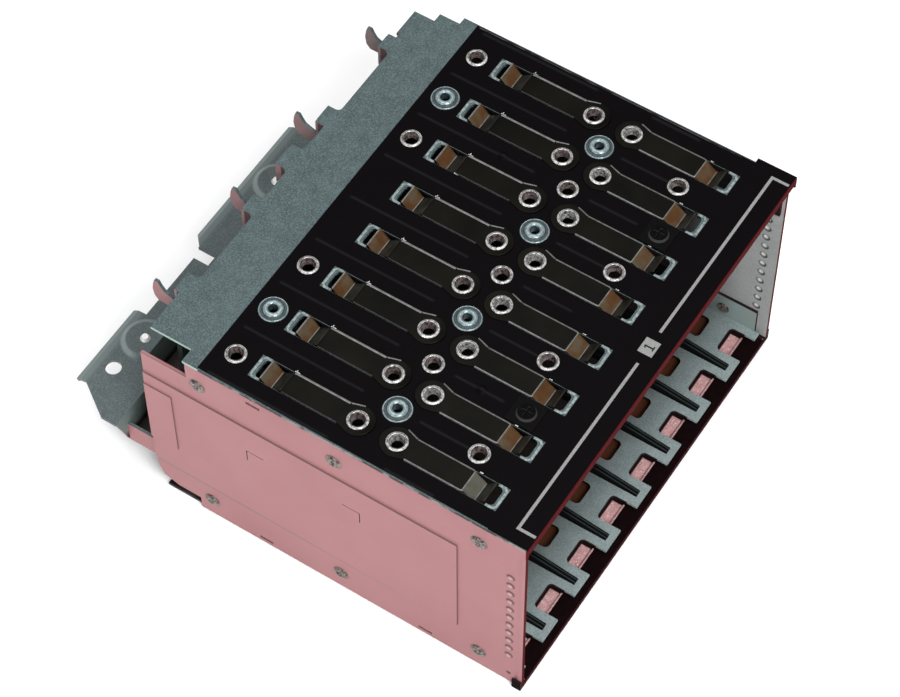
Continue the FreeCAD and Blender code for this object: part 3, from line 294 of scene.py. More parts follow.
def makeBracketZinc():
    # darker, with painted highlights on the riser, rear lip and boss rims, painted shade on the low shelf,
    # and a painted pink reflection on the left side tab
    m = zinc("bracketZinc", (0.045, 0.060, 0.062), (0.090, 0.112, 0.114))
    x, y, z = m.where()
    # painted highlight on the front-facing riser
    skin = m.mix(m.facing("-Y", 0.3, 0.7), m.skin, (0.15, 0.19, 0.18))
    # painted highlight on the rear lip and on faces that look back
    skin = m.mix(m.past(y, *bracket["lipHighlightStart"]), skin, (0.105, 0.130, 0.130))
    skin = m.mix(m.facing("Y", 0.08, 0.3), skin, (0.15, 0.182, 0.180))
    # a painted highlight round the rear half of each boss
    for bossX, bossY in bracket["bosses"]:
        far = m.length(m.math("SUBTRACT", x, bossX * mm), m.math("SUBTRACT", y, bossY * mm))
        rim = m.times(m.span(far, *bracket["bossRimHighlight"]), m.past(y, *bracket["bossRear"]))
        skin = m.mix(rim, skin, (0.19, 0.225, 0.222))
    # painted shade on the low shelf
    skin = m.mix(m.before(z, *bracket["shelfShadeTop"]), skin, (0.018, 0.012, 0.011))
    # painted pink reflection on the left face of the side tab
    tabReflection = m.times(m.facing("-X", 0.6, 0.85), m.before(z, *bracket["tabTop"]))
    m.color(m.mix(tabReflection, skin, tints["pinkReflection"]))
    return m


plateLook = {
    "shade": (-56, -36),
    "walls": (-58.0, -57.5),
}


def makePlateZinc():
    # painted shade that deepens towards the back of the cage, and painted shade on the walls of its windows
    m = zinc("plateZinc", (0.19, 0.24, 0.245), (0.33, 0.39, 0.39))
    y = m.where()[1]
    skin = m.mix(m.past(y, *plateLook["shade"]), m.skin, (0.010, 0.007, 0.006))
    way = m.direction()
    # painted shade on walls that face the front or the left
    paintedWallShade = m.band(m.times(m.math("MINIMUM", way["X"], way["Y"]), -1.0), 0.4, 0.6)
    m.color(m.mix(m.times(paintedWallShade, m.past(y, *plateLook["walls"])), skin, tints["shade"]))
    return m


filmLook = {
    "black": (0.0022, 0.0017, 0.0021),
    "dust": (0.010, 0.010, 0.011),
    "furrow": (0.0085, 0.0085, 0.0092),
    "furrowHalf": 0.7,
    "furrows": (((0.5, 1.5), (40.5, 41.5)), ((-34, -33), (-18, -17))),   # rear and front, along the depth
}


def makeFilm():
    # nearly black, with faint furrows over the ribs pressed into the cover
    m = Mat("blackFilm", filmLook["black"], 0.45, 0.0, 0.02)
    x, y = m.where()[:2]
    across = m.plus(x, (pitch * 8 + fieldShift) * mm)
    ridge = m.rest(m.past(m.math("PINGPONG", across, pitch * mm / 2), 0.0, filmLook["furrowHalf"]))
    inside = m.plus(*[m.span(y, *ends) for ends in filmLook["furrows"]])
    furrow = m.times(ridge, inside)
    m.bump(furrow, 0.0002, 0.4)
    m.bump(m.noise(90, 2), 0.0006, 0.25)
    m.bump(m.noise(1400, 2), 0.00003, 0.3)
    dust = m.band(m.noise(3200, 1, 0.3), 0.74, 0.80)
    skin = m.mix(dust, filmLook["black"], filmLook["dust"])
    m.color(m.mix(furrow, skin, filmLook["furrow"]))
    m.roughness(m.noise(140, 3), 0.36, 0.52)
    return m


def makeBlade():
    # spring steel: dark and smooth
    m = Mat("springBlade", (0.0040, 0.0038, 0.0025), 0.3, 0.0, 0.04)
    m.color(m.mottle(60, (0.0016, 0.0015, 0.0011), (0.0050, 0.0046, 0.0029)))
    m.roughness(m.noise(500, 3), 0.26, 0.40)
    m.bump(m.noise(70, 2), 0.0004, 0.2)
    return m


def paintedEdgeLight(name, low, high):
    # painted highlights along the leaves' edges, in bright, middle and faint copies
    m = Mat(name, high, 0.4, 0.1, 0.3)
    m.color(m.mottle(700, low, high))
    m.roughness(m.noise(900, 2), 0.2, 0.4)
    return m


def slopeReflection(name, middle, rim):
    # the dip's two slopes carry painted reflections: warm brown or olive on the slope that faces the front,
    # dark on the slope that faces back
    m = Mat(name, middle, 0.42, 0.05, 0.15)
    m.color(m.ramp(m.noise(210, 2), [(0.35, rim), (0.55, middle), (0.8, tuple(0.7 * c for c in middle))]))
    m.roughness(m.noise(700, 2), 0.25, 0.42)
    return m


def ringMetal(name, low, high, rough, metal):
    # turned and rolled metal with small painted glints
    m = Mat(name, high, rough, metal, 0.4)
    m.color(m.mottle(1300, low, high, 3, (0.36, 0.64)))
    m.roughness(m.noise(900, 2), rough - 0.08, rough + 0.12)
    return m


panelLook = {
    "dimpleFront": 4.7,       # behind the front edge
    "dimplePitch": 4.5,
    "dimplePlace": 61.2,      # height of one dimple's middle
    "dimpleRows": ((13.8, 14.0), (63.5, 63.7)),
    "dimpleShadeRing": ((0.7, 1.0), (1.3, 1.5)),
    "dimpleCrownHighlight": (0.6, 0.9),
    "fieldWall": (71.4, 71.6),
    "lowerShadowLine": ((15.0, 15.4), (16.1, 16.5)),
    "topEdgeShade": (77.0, 77.5),
    "liningShade": (-52, -30),
    "wallStart": (-60, -59),
    "lineFade": (-50, 20),
}


def makePanelMetal():
    # painted pink reflection outside, pale grey inside, painted dark-red reflection on front-facing faces
    m = Mat("sidePanel", tints["pinkReflection"], 0.45, 0.1, 0.25)
    way = m.direction()
    x, y, z = m.where()
    outward = m.times(way["X"], m.math("SIGN", x))
    inner = m.band(m.times(outward, -1.0), 0.5, 0.8)
    grain = m.noise(1900, 3)
    clouds = m.noise(35, 4)
    # the outside's mottled pink is a painted reflection
    outside = m.ramp(m.plus(m.times(grain, 0.4), m.times(clouds, 0.6)),
                     [(0.3, (0.272, 0.113, 0.119)), (0.5, tints["pinkReflection"]), (0.72, (0.322, 0.146, 0.152))])
    lining = m.ramp(m.plus(m.times(grain, 0.5), m.times(clouds, 0.5)),
                    [(0.3, (0.25, 0.27, 0.265)), (0.7, (0.41, 0.42, 0.41))])
    # each pressed dimple near the front edge gets a painted highlight in the middle inside a ring of painted
    # shade
    step = panelLook["dimplePitch"]
    u = m.math("SUBTRACT", y, (front + panelLook["dimpleFront"]) * mm)
    v = m.math("PINGPONG", m.plus(z, (step * 20 - panelLook["dimplePlace"]) * mm), step * mm / 2)
    far = m.length(u, v)
    rows = m.span(z, *panelLook["dimpleRows"])
    ring = m.times(m.span(far, *panelLook["dimpleShadeRing"]), rows)
    crownHighlight = m.times(m.before(far, *panelLook["dimpleCrownHighlight"]), rows)
    outside = m.mix(ring, outside, (0.10, 0.050, 0.050))
    outside = m.mix(crownHighlight, outside, (0.36, 0.24, 0.24))
    lining = m.mix(crownHighlight, lining, (0.62, 0.62, 0.60))
    lining = m.mix(ring, lining, (0.10, 0.10, 0.095))
    lining = m.mix(m.past(y, *panelLook["liningShade"]), lining, (0.012, 0.010, 0.010))
    skin = m.mix(inner, outside, lining)
    # painted dark-red reflection on faces that look forward
    frontFaceReflection = m.facing("-Y", 0.55, 0.85)
    skin = m.mix(frontFaceReflection, skin, tints["maroonReflection"])
    m.dull(frontFaceReflection, 0.25)
    # painted shade: the low walls round the pressed field are painted grey, and a soft painted shadow line
    # follows its lower edge
    paintedWallShade = m.rest(m.band(m.math("ABSOLUTE", way["X"]), 0.3, 0.6))
    paintedWallShade = m.times(paintedWallShade, m.past(m.math("ABSOLUTE", x), *panelLook["fieldWall"]))
    skin = m.mix(m.times(paintedWallShade, m.past(y, *panelLook["wallStart"])), skin, (0.17, 0.110, 0.105))
    line = m.times(m.times(m.span(z, *panelLook["lowerShadowLine"]), 0.75), m.past(y, *panelLook["lineFade"]))
    skin = m.mix(m.times(line, m.rest(inner)), skin, (0.145, 0.118, 0.110))
    # painted shade on the up-facing top edge under the cover
    topEdgeShade = m.times(m.facing("Z", 0.6, 0.9), m.past(z, *panelLook["topEdgeShade"]))
    m.color(m.mix(topEdgeShade, skin, (0.045, 0.048, 0.047)))
    m.roughness(grain, 0.38, 0.55)
    m.bump(grain, 0.000015, 0.5)
    return m


panLook = {
    "gapHalf": (4.55, 4.75),      # half the gap between two teeth of the guide plate
    "gapBack": (-53.0, -52.7),
    "lip": (-62.6, -62.4),
    "corner": (-72.7, -72.5),
    "floorStart": (-62.4, -62.2),
    "floorHalfShade": (-47.5, -46.0),
    "floorDeepShade": (-40, -30),
    "sideEdgeShade": (70.0, 70.4),
    "flangeShade": (-52, -36),
}


def makePanMetal():
    # painted pink reflection with painted glints on its floor, painted dark-red reflection on its front lip
    # and front faces
    m = Mat("bottomPan", tints["pinkReflection"], 0.4, 0.15, 0.25)
    x, y = m.where()[:2]
    cells = m.cells(1300)
    glint = m.band(m.noise(2600, 1, 0.4), 0.63, 0.72)
    # painted pink reflection on the floor, with painted glints
    floor = m.mottle(700, (0.52, 0.26, 0.265), (0.72, 0.41, 0.41))
    floor = m.mix(glint, floor, (0.95, 0.84, 0.80))
    # painted shade: the guide plate's teeth shade the floor beside and behind each gap
    off = m.math("PINGPONG", m.plus(x, pitch * 8.5 * mm), pitch * mm / 2)
    toothShade = m.math("MAXIMUM", m.past(off, *panLook["gapHalf"]), m.past(y, *panLook["gapBack"]))
    floor = m.mix(m.times(toothShade, m.past(y, *panLook["floorStart"])), floor, (0.012, 0.006, 0.006))
    # painted shade deepening towards the back
    floor = m.mix(m.past(y, *panLook["floorHalfShade"]), floor, (0.070, 0.022, 0.010))
    floor = m.mix(m.past(y, *panLook["floorDeepShade"]), floor, tints["shade"])
    # painted dark-red reflection on the front lip
    lip = m.before(y, *panLook["lip"])
    floor = m.mix(lip, floor, (0.040, 0.004, 0.006))
    # painted shade along the outer edges, under the side flanges
    floor = m.mix(m.past(m.math("ABSOLUTE", x), *panLook["sideEdgeShade"]), floor, (0.022, 0.008, 0.009))
    skin = m.mix(m.facing("Z", 0.6, 0.9), (0.10, 0.12, 0.12), floor)
    flange = m.mix(m.past(y, *panLook["flangeShade"]), (0.27, 0.335, 0.32), tints["shade"])
    # painted shade on the left end face
    corner = m.before(x, *panLook["corner"])
    flange = m.mix(corner, flange, (0.003, 0.001, 0.001))
    skin = m.mix(m.facing("-X", 0.5, 0.8), skin, flange)
    # painted dark-red reflection on faces that look forward
    frontFaceReflection = m.facing("-Y", 0.55, 0.85)
    m.color(m.mix(frontFaceReflection, skin, (0.030, 0.003, 0.005)))
    m.dull(m.math("MAXIMUM", corner, m.math("MAXIMUM", frontFaceReflection, lip)), 0.25)
    m.roughness(cells, 0.3, 0.5)
    m.bump(cells, 0.00002, 0.5)
    return m


def blackPart(name, color, rough, grainSize):
    # moulded or blackened parts
    m = Mat(name, color, rough, 0.0, 0.03)
    m.color(m.mottle(grainSize, tuple(0.7 * c for c in color), tuple(1.4 * c for c in color)))
    m.roughness(m.noise(grainSize * 1.5, 2), rough - 0.08, rough + 0.1)
    m.bump(m.noise(grainSize * 2, 2), 0.00002, 0.5)
    return m


railLook = {"glint": ((0.30, 0.45), (0.65, 0.80)), "glintEnd": (-48, -42)}


def makeRailBlack():
    # a soft painted glint runs along each rail's nose
    m = blackPart("railPlastic", (0.0045, 0.0045, 0.0050), 0.42, 900)
    x, y = m.where()[:2]
    off = m.math("PINGPONG", m.plus(x, pitch * 8 * mm), pitch * mm / 2)
    glint = m.times(m.span(off, *railLook["glint"]), m.before(y, *railLook["glintEnd"]))
    m.color(m.mix(glint, (0.0035, 0.0036, 0.0040), (0.030, 0.038, 0.038)))
    return m


def makeScrewHead():
    # black on top, with painted highlights on the walls round the head and in its cross
    m = Mat("screwHead", (0.002, 0.002, 0.002), 0.5, 0.0, 0.02)
    skin = m.mottle(900, (0.0012, 0.0012, 0.0013), (0.0035, 0.0034, 0.0036), 2)
    m.color(m.mix(m.facing("Z", 0.5, 0.8), (0.035, 0.035, 0.035), skin))
    return m


def makeBoardResist():
    m = Mat("backplaneBoard", (0.010, 0.016, 0.013), 0.4, 0.0, 0.2)
    trace = m.band(m.cells(260, "DISTANCE_TO_EDGE"), 0.05, 0.09)
    m.color(m.mix(trace, (0.016, 0.026, 0.021), (0.008, 0.013, 0.011)))
    m.bump(trace, 0.00003, 0.5)
    m.roughness(m.noise(300, 2), 0.3, 0.5)
    return m


def makeRubbed():
    # the film's edge, rubbed bright in places
    m = Mat("filmEdge", (0.05, 0.05, 0.05), 0.4, 0.0, 0.1)
    m.color(m.mottle(160, (0.010, 0.010, 0.010), (0.085, 0.084, 0.080), 3, (0.42, 0.62)))
    m.roughness(m.noise(900, 2), 0.3, 0.5)
    return m


def makeInk():
    m = Mat("labelInk", (0.20, 0.205, 0.20), 0.6, 0.0, 0.1)
    m.color(m.mottle(2300, (0.17, 0.175, 0.17), (0.25, 0.255, 0.25)))
    return m


blade = makeBlade()
edgeHighlight = paintedEdgeLight("springEdgeHighlight", (0.12, 0.125, 0.12), (0.22, 0.225, 0.215))
edgeHalfHighlight = paintedEdgeLight("springEdgeHalfHighlight", (0.075, 0.077, 0.073), (0.15, 0.152, 0.145))
edgeFaintHighlight = paintedEdgeLight("springEdgeFaintHighlight", (0.009, 0.009, 0.008), (0.028, 0.027, 0.024))
slopeWarmReflection = slopeReflection("springSlopeWarmReflection", (0.066, 0.030, 0.011), (0.068, 0.052, 0.032))
slopeDarkReflection = slopeReflection("springSlopeDarkReflection", (0.010, 0.010, 0.008), (0.022, 0.021, 0.017))
slopeOliveReflection = slopeReflection("springSlopeOliveReflection", (0.075, 0.075, 0.060), (0.050, 0.050, 0.040))

bright = ringMetal("rivetBright", (0.17, 0.165, 0.16), (0.62, 0.615, 0.60), 0.3, 0.3)
# painted shade in the eyelets' groove lines and bores; the grey bore is a painted lit copy
grooveShade = ringMetal("rivetGrooveShade", (0.018, 0.016, 0.015), (0.050, 0.046, 0.043), 0.4, 0.3)
boreShade = ringMetal("rivetBoreShade", (0.003, 0.0015, 0.0015), (0.13, 0.10, 0.095), 0.45, 0.1)
boreLit = ringMetal("rivetBoreLit", (0.020, 0.020, 0.018), (0.26, 0.26, 0.25), 0.4, 0.1)
boreTealShade = ringMetal("rivetBoreTealShade", (0.012, 0.022, 0.028), (0.035, 0.055, 0.065), 0.4, 0.2)
sideMetal = ringMetal("sideRivetMetal", (0.010, 0.006, 0.005), (0.20, 0.17, 0.155), 0.25, 0.3)
# painted shade in the ring round each side rivet
sideRingShade = ringMetal("sideRivetShade", (0.006, 0.002, 0.002), (0.022, 0.008, 0.008), 0.5, 0.0)
# painted highlight: the pressed rims round the slot ends are paler than the cover
rimHighlightZinc = ringMetal("slotRim", (0.085, 0.110, 0.112), (0.24, 0.285, 0.285), 0.4, 0.2)
# painted highlight: the pins are nearly white for their glint
pinGlintMetal = ringMetal("pinGlintMetal", (0.70, 0.70, 0.69), (0.85, 0.85, 0.84), 0.2, 0.3)
dome = ringMetal("domeZinc", (0.13, 0.18, 0.19), (0.27, 0.335, 0.345), 0.28, 0.4)
# painted shade in the ring round each dome
domeRingShade = ringMetal("domeRingShade", (0.012, 0.022, 0.026), (0.032, 0.050, 0.056), 0.45, 0.1)

screwBlack = blackPart("blackScrew", (0.0020, 0.0019, 0.0021), 0.4, 1500)
connectorBlack = blackPart("connectorPlastic", (0.016, 0.016, 0.018), 0.5, 1100)
inkBlack = blackPart("labelDigit", (0.010, 0.010, 0.010), 0.5, 1500)
inkGrey = makeInk()
rubbed = makeRubbed()
railBlack = makeRailBlack()
panelMetal = makePanelMetal()

looks = {
    "top_cover": makeCoverZinc(),
    "top_film": makeFilm(),
    "screw_pads": screwBlack,
    "cover_screws": makeScrewHead(),
    "side_panel_left": panelMetal,
    "side_panel_right": panelMetal,
    "bottom_pan": makePanMetal(),
    "front_film_strip": blackPart("frontStrip", (0.0055, 0.0020, 0.0024), 0.6, 800),
    "bottom_guide_plate": makePlateZinc(),
    "rear_bracket": makeBracketZinc(),
    "boss_pins": pinGlintMetal,
    "backplane_board": makeBoardResist(),
    "power_connector": connectorBlack,
    "data_connectors": connectorBlack,
}
families = {"guide_rail": railBlack, "drive_connector": connectorBlack}
for name, o in nodes.items():
    chosen = looks.get(name, bright)
    for start, look in families.items():
        if name.startswith(start):
            chosen = look
    o.data.materials.clear()
    o.data.materials.append(chosen.mat)
print("materials done")


# ---- mesh helpers ----

def makePiece(piece):
    # a mesh from a piece's points and faces (mm), riding on its body
    mesh = bpy.data.meshes.new(piece["name"])
    mesh.from_pydata([tuple(c * mm for c in p) for p in piece["points"]], [], piece["faces"])
    for m in piece["mats"]:
        mesh.materials.append(m.mat)
    for face, index in zip(mesh.polygons, piece["slots"]):
        face.material_index = index
    if piece.get("closed"):
        bm = bmesh.new()
        bm.from_mesh(mesh)
        bmesh.ops.recalc_face_normals(bm, faces=bm.faces)
        bm.to_mesh(mesh)
        bm.free()
    o = bpy.data.objects.new(piece["name"], mesh)
    bpy.context.scene.collection.objects.link(o)
    if piece.get("smooth"):
        for face in mesh.polygons:
            face.use_smooth = True
        mesh.set_sharp_from_angle(angle=math.radians(piece["smooth"]))
    if piece.get("body"):
        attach(o, piece["body"])
    if piece.get("replaces"):
        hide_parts(*piece["replaces"])
    return o


def faceUp(o):
    # turn an open sheet's faces so that most of it looks up
    bm = bmesh.new()
    bm.from_mesh(o.data)
    bmesh.ops.recalc_face_normals(bm, faces=bm.faces)
    if sum(f.normal.z * f.calc_area() for f in bm.faces) < 0:
        bmesh.ops.reverse_faces(bm, faces=bm.faces)
    bm.to_mesh(o.data)
    bm.free()


def turned(piece):
    # rings (radius, height, material) turned round each spot's axis, closed back to the first ring
    steps = piece.get("steps", 28)
    rings = piece["rings"]
    points = []
    faces = []
    slots = []
    for spot in piece["spots"]:
        start = len(points)
        for radius, height, _ in rings:
            for k in range(steps):
                a = 2 * math.pi * k / steps
                u, v = radius * math.cos(a), radius * math.sin(a)
                if piece.get("side"):
                    points.append((spot[0] + height * piece["side"], spot[1] + u, spot[2] + v))
                else:
                    points.append((spot[0] + u, spot[1] + v, spot[2] + height))
        for r in range(len(rings)):
            after = (r + 1) % len(rings)
            for k in range(steps):
                n = (k + 1) % steps
                faces.append((start + r * steps + k, start + r * steps + n,
                              start + after * steps + n, start + after * steps + k))
                slots.append(rings[r][2])
    piece.update(points=points, faces=faces, slots=slots, closed=True, smooth=40)
    return makePiece(piece)


def slabs(piece):
    # flat shapes (outline in X and Y) between two heights, on the cage
    low, high = piece["heights"]
    points = []
    faces = []
    for shape in piece["shapes"]:
        n = len(shape)
        s = len(points)
        points += [(x, y, low) for x, y in shape] + [(x, y, high) for x, y in shape]
        faces.append(tuple(range(s + n, s + 2 * n)))
        faces.append(tuple(reversed(range(s, s + n))))
        for k in range(n):
            faces.append((s + k, s + (k + 1) % n, s + n + (k + 1) % n, s + n + k))
    piece.update(points=points, faces=faces, slots=[0] * len(faces), closed=True, body="cage")
    return makePiece(piece)


# ---- eyelets and rivets ----

rows = (
    {"name": "rear", "place": 60.0, "way": 1},       # place: behind the front edge
    {"name": "front", "place": 47.1, "way": -1},
)
plainEyelet = {
    "places": ((100.6, bayX, (0, 2, 5, 7)), (52.6, lineX, (1, 3, 5)), (26.3, lineX, (0, 2, 4, 6))),
}
domeRivet = {
    "places": ((52.8, lineX, (0, 2, 4, 6)), (100.3, bayX, (1, 6))),
    "rings": [
        (1.35, -1.95, 1), (1.35, 0.25, 1),                                       # bore
        (1.5, 0.62, 0), (1.8, 0.92, 0), (2.2, 1.0, 0), (2.7, 0.86, 0),           # dome
        (2.95, 0.52, 2), (3.1, 0.3, 2), (3.3, 0.22, 2),                          # painted shade in the ring round it
        (3.95, 0.26, 0), (4.1, 0.28, 0), (4.28, 0.14, 0), (4.32, 0.0, 0),        # rim
        (2.6, 0.0, 0), (2.6, -1.25, 0), (3.4, -1.25, 0), (3.3, -1.85, 0), (2.6, -1.95, 0),
    ],
}
sideRivet = {
    "face": 71.75,
    "places": (15.0, 62.5, 108.5),
    "heights": (70.8, 8.3),
    "rings": [
        (0.02, 0.25, 0), (0.55, 0.28, 0), (0.9, 0.62, 0), (1.15, 0.78, 0), (1.6, 0.74, 0),
        (2.1, 0.52, 0), (2.42, 0.22, 0),
        (2.5, 0.02, 1), (2.75, 0.06, 1), (2.9, 0.0, 1),                          # painted shade in a ring round the head
        (1.5, 0.0, 0), (1.5, -2.0, 0), (2.1, -2.0, 0), (2.0, -2.35, 0), (0.02, -2.4, 0),
    ],
}


def spotsOn(places, height):
    return [(across(i), front + place, height) for place, across, picks in places for i in picks]


def eyeletRings(seat):
    # a rolled rim with a painted shade line for the groove, a narrowing bore and a flared foot under the
    # cover
    down = coverUnderside - seat
    return [(1.7, down - 0.7, 1), (1.8, -1.3, 1), (2.26, 0.05, 1),
            (2.36, 0.3, 0), (2.52, 0.44, 2), (2.70, 0.45, 0), (2.96, 0.36, 0), (3.2, 0.0, 0),
            (2.4, 0.0, 0), (2.4, down, 0), (3.0, down, 0), (2.9, down - 0.55, 0), (2.5, down - 0.7, 0)]


def makeEyelets(name, spots, seat, bore, replaced):
    turned({"name": name, "rings": eyeletRings(seat), "spots": spots, "mats": [bright, bore, grooveShade],
            "body": "cage", "slot": "rivet_metal", "replaces": replaced})


rearRow, frontRow = [spotsOn([(row["place"], bayX, range(bays))], springTop) for row in rows]
# front-row bores take the painted lit copy, the others painted shade
makeEyelets("eyeletsFront", frontRow, springTop, boreLit, ["spring_eyelets"])
makeEyelets("eyeletsRear", rearRow, springTop, boreShade, [])
makeEyelets("eyeletsPlain", spotsOn(plainEyelet["places"], filmTop), filmTop, boreShade, ["plain_eyelets"])
turned({"name": "domeRivets", "steps": 40, "rings": domeRivet["rings"],
        "spots": spotsOn(domeRivet["places"], filmTop), "mats": [dome, boreTealShade, domeRingShade],
        "body": "cage", "slot": "rivet_metal", "replaces": ["cover_rivets"]})
for word, side in (("left", -1), ("right", 1)):
    turned({"name": "sideRivets" + word.title(), "side": side, "rings": sideRivet["rings"],
            "spots": [(sideRivet["face"] * side, front + place, z)
                      for place in sideRivet["places"] for z in sideRivet["heights"]],
            "mats": [sideMetal, sideRingShade], "body": "cage", "slot": "rivet_metal",
            "replaces": ["side_rivets_" + word]})
print("eyelets and rivets done")


# ---- leaf springs ----

leafLook = {
    "half": 3.85,              # half the blade's width
    "narrowing": 0.45,         # what each side loses at the dip
    "narrowStart": 22.4,       # distances along the blade, from its eyelet
    "narrowRun": 1.4,
    "dip": {"start": 22.9, "slopeStart": 23.5, "slopeEnd": 26.5, "valleyEnd": 27.3},
    "drop": {"slopeStart": 0.22, "slopeEnd": 2.44, "valleyEnd": 2.296},
    "slope": 0.74,
    "valleyCurl": 1.15,
    "tipSlope": 1.1,
    "thickness": 0.3,
    "hole": 2.5,
    "headRadius": 5.08,
    "neck": ((3.3, 4.25), (1.9, 4.68)),      # the head's flanks, from the blade back
    "arcStart": (0.6, 5.05),   # where the flanks meet the head's round
    "arcSteps": 16,
    "headLift": 0.35,          # how far the head's free edge curls up
    "liftFrom": 120,           # degrees round from the blade
    "litFlank": (38, 80),      # degrees, where the head's edge catches the light
    "bend": (3.9, 5.2),        # where the leaf turns from the fixed head to the blade
    "reaches": (4.6, 5.2, 6.4, 8.5, 11, 14, 17, 20, 22.3, 22.9, 23.2, 23.5, 24.5, 25.5, 26.5,
                26.75, 27.0, 27.3, 28.2, 29.1, 29.85, 30.1),
    "zones": {"crease": 22.9, "nearSlope": 23.2, "valley": 26.75, "farSlope": 27.0, "tip": 29.85},
    "columns": {"rear": (-1, -0.94, -0.5, 0, 0.5, 0.83, 1), "front": (-1, -0.9, -0.5, 0, 0.5, 0.89, 1)},
    "mats": [blade, edgeHighlight, edgeFaintHighlight, slopeWarmReflection, slopeDarkReflection, edgeHalfHighlight, slopeOliveReflection],
}


def leafHalf(u):
    # half the leaf's width at a distance from its eyelet
    t = min(1.0, max(0.0, (u - leafLook["narrowStart"]) / leafLook["narrowRun"]))
    return leafLook["half"] - leafLook["narrowing"] * t * t * (3 - 2 * t)


def leafRise(u):
    # height of the leaf: flat, then a rounded V that dips through the cover
    dip, drop, slope = leafLook["dip"], leafLook["drop"], leafLook["slope"]
    if u < dip["start"]:
        return 0.0
    if u < dip["slopeStart"]:
        return -slope * (u - dip["start"]) ** 2 / 1.2
    if u < dip["slopeEnd"]:
        return -drop["slopeStart"] - slope * (u - dip["slopeStart"])
    if u < dip["valleyEnd"]:
        t = u - dip["slopeEnd"]
        return -drop["slopeEnd"] - slope * t + leafLook["valleyCurl"] * t * t
    return -drop["valleyEnd"] + leafLook["tipSlope"] * (u - dip["valleyEnd"])


def leafSlot(row, i, reach, column):
    # which of the leaf's mats a patch takes: the two rows catch the light from opposite sides
    rear = row["name"] == "rear"
    zones = leafLook["zones"]
    if reach > zones["tip"]:
        return 5 if rear else 4
    if reach > zones["farSlope"]:
        return 3 if rear else 4
    if reach > zones["valley"]:
        return 5
    if reach > zones["nearSlope"]:
        return 4 if rear else 6 if i == 0 else 3
    if reach > zones["crease"]:
        return 0 if rear else 5
    if column == 5:
        return 1 if rear else 5
    if column == 0:
        return 2 if rear else 5
    return 0


def headRim(columns):
    # the head's outline, round from the blade's root and back to it
    start = leafLook["reaches"][0]
    neck = leafLook["neck"]
    radius = leafLook["headRadius"]
    rim = [(start, c * leafHalf(start)) for c in columns] + list(neck)
    u, w = leafLook["arcStart"]
    arcStart = math.degrees(math.atan2(w, u))
    count = leafLook["arcSteps"]
    for k in range(count + 1):
        a = math.radians(arcStart + (360 - 2 * arcStart) * k / count)
        rim.append((radius * math.cos(a), radius * math.sin(a)))
    return rim + [(u, -w) for u, w in reversed(neck)]


def makeLeaf(row, i):
    way = row["way"]
    cx, root = bayX(i), front + row["place"]
    columns = leafLook["columns"][row["name"]]
    reaches = leafLook["reaches"]
    points = []
    faces = []
    slots = []

    def add(u, w, z):
        points.append((cx + w, root + way * u, springTop + z))
        return len(points) - 1

    grid = [[add(u, c * leafHalf(u), leafRise(u)) for c in columns] for u in reaches]
    for r in range(len(reaches) - 1):
        middle = (reaches[r] + reaches[r + 1]) / 2
        for c in range(len(columns) - 1):
            faces.append((grid[r][c], grid[r][c + 1], grid[r + 1][c + 1], grid[r + 1][c]))
            slots.append(leafSlot(row, i, middle, c))

    # head: rings from the eyelet's hole out to the rim, which curls up at the free end
    rim = headRim(columns)
    shares = [0.0, 0.45, 0.85, 1.0]
    rings = []
    for share in shares:
        ring = []
        for n, (u, w) in enumerate(rim):
            a = math.atan2(w, u)
            if share == 1.0 and n < len(columns):
                ring.append(grid[0][n])
                continue
            holeU, holeW = leafLook["hole"] * math.cos(a), leafLook["hole"] * math.sin(a)
            liftFrom = leafLook["liftFrom"]
            free = max(0.0, (abs(math.degrees(a)) - liftFrom) / (180 - liftFrom))
            lift = 0.0 if share < 0.5 else leafLook["headLift"] * free * (share - 0.5) * 2
            ring.append(add(holeU + (u - holeU) * share, holeW + (w - holeW) * share, lift))
        rings.append(ring)
    for s in range(len(shares) - 1):
        for n, (u, w) in enumerate(rim):
            m = (n + 1) % len(rim)
            faces.append((rings[s][n], rings[s][m], rings[s + 1][m], rings[s + 1][n]))
            low, high = leafLook["litFlank"]
            lit = s == 2 and low < math.degrees(math.atan2(w, u)) < high
            slots.append((1 if way > 0 else 5) if lit else 0)
    node = "%s_spring_%d" % (row["name"], i + 1)
    leaf = makePiece({"name": "leaf_%s_%d" % (row["name"], i + 1), "points": points, "faces": faces,
                      "slots": slots, "mats": leafLook["mats"], "smooth": 35,
                      "slot": "spring_steel", "replaces": [node, "spring_heads"]})
    faceUp(leaf)
    thick = leaf.modifiers.new("thick", "SOLIDIFY")
    thick.thickness = leafLook["thickness"] * mm
    thick.offset = -1
    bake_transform(leaf)


for row in rows:
    for i in range(bays):
        makeLeaf(row, i)
print("leaf springs done")


# ---- pressed rims round the slot ends as painted highlights, painted glints at the film's corners ----

slotRim = {
    "half": 3.95,              # half its width across the slot
    "near": 30.6,              # both along the blade, from its eyelet
    "end": 33.9,
    "width": 0.75,
    "corner": 1.1,
    "innerCorner": 1.3,
    "rise": 0.14,
}
filmGlint = {
    "rise": 0.06,
    # place beside and along the blade, half its size each way
    "rear": ((4.05, 22.6, 0.16, 0.75), (4.3, 22.9, 0.45, 0.14)),
    "front": ((4.15, 24.6, 0.14, 0.5),),
}


def bar(x0, x1, y0, y1):
    return [(x0, y0), (x1, y0), (x1, y1), (x0, y1)]


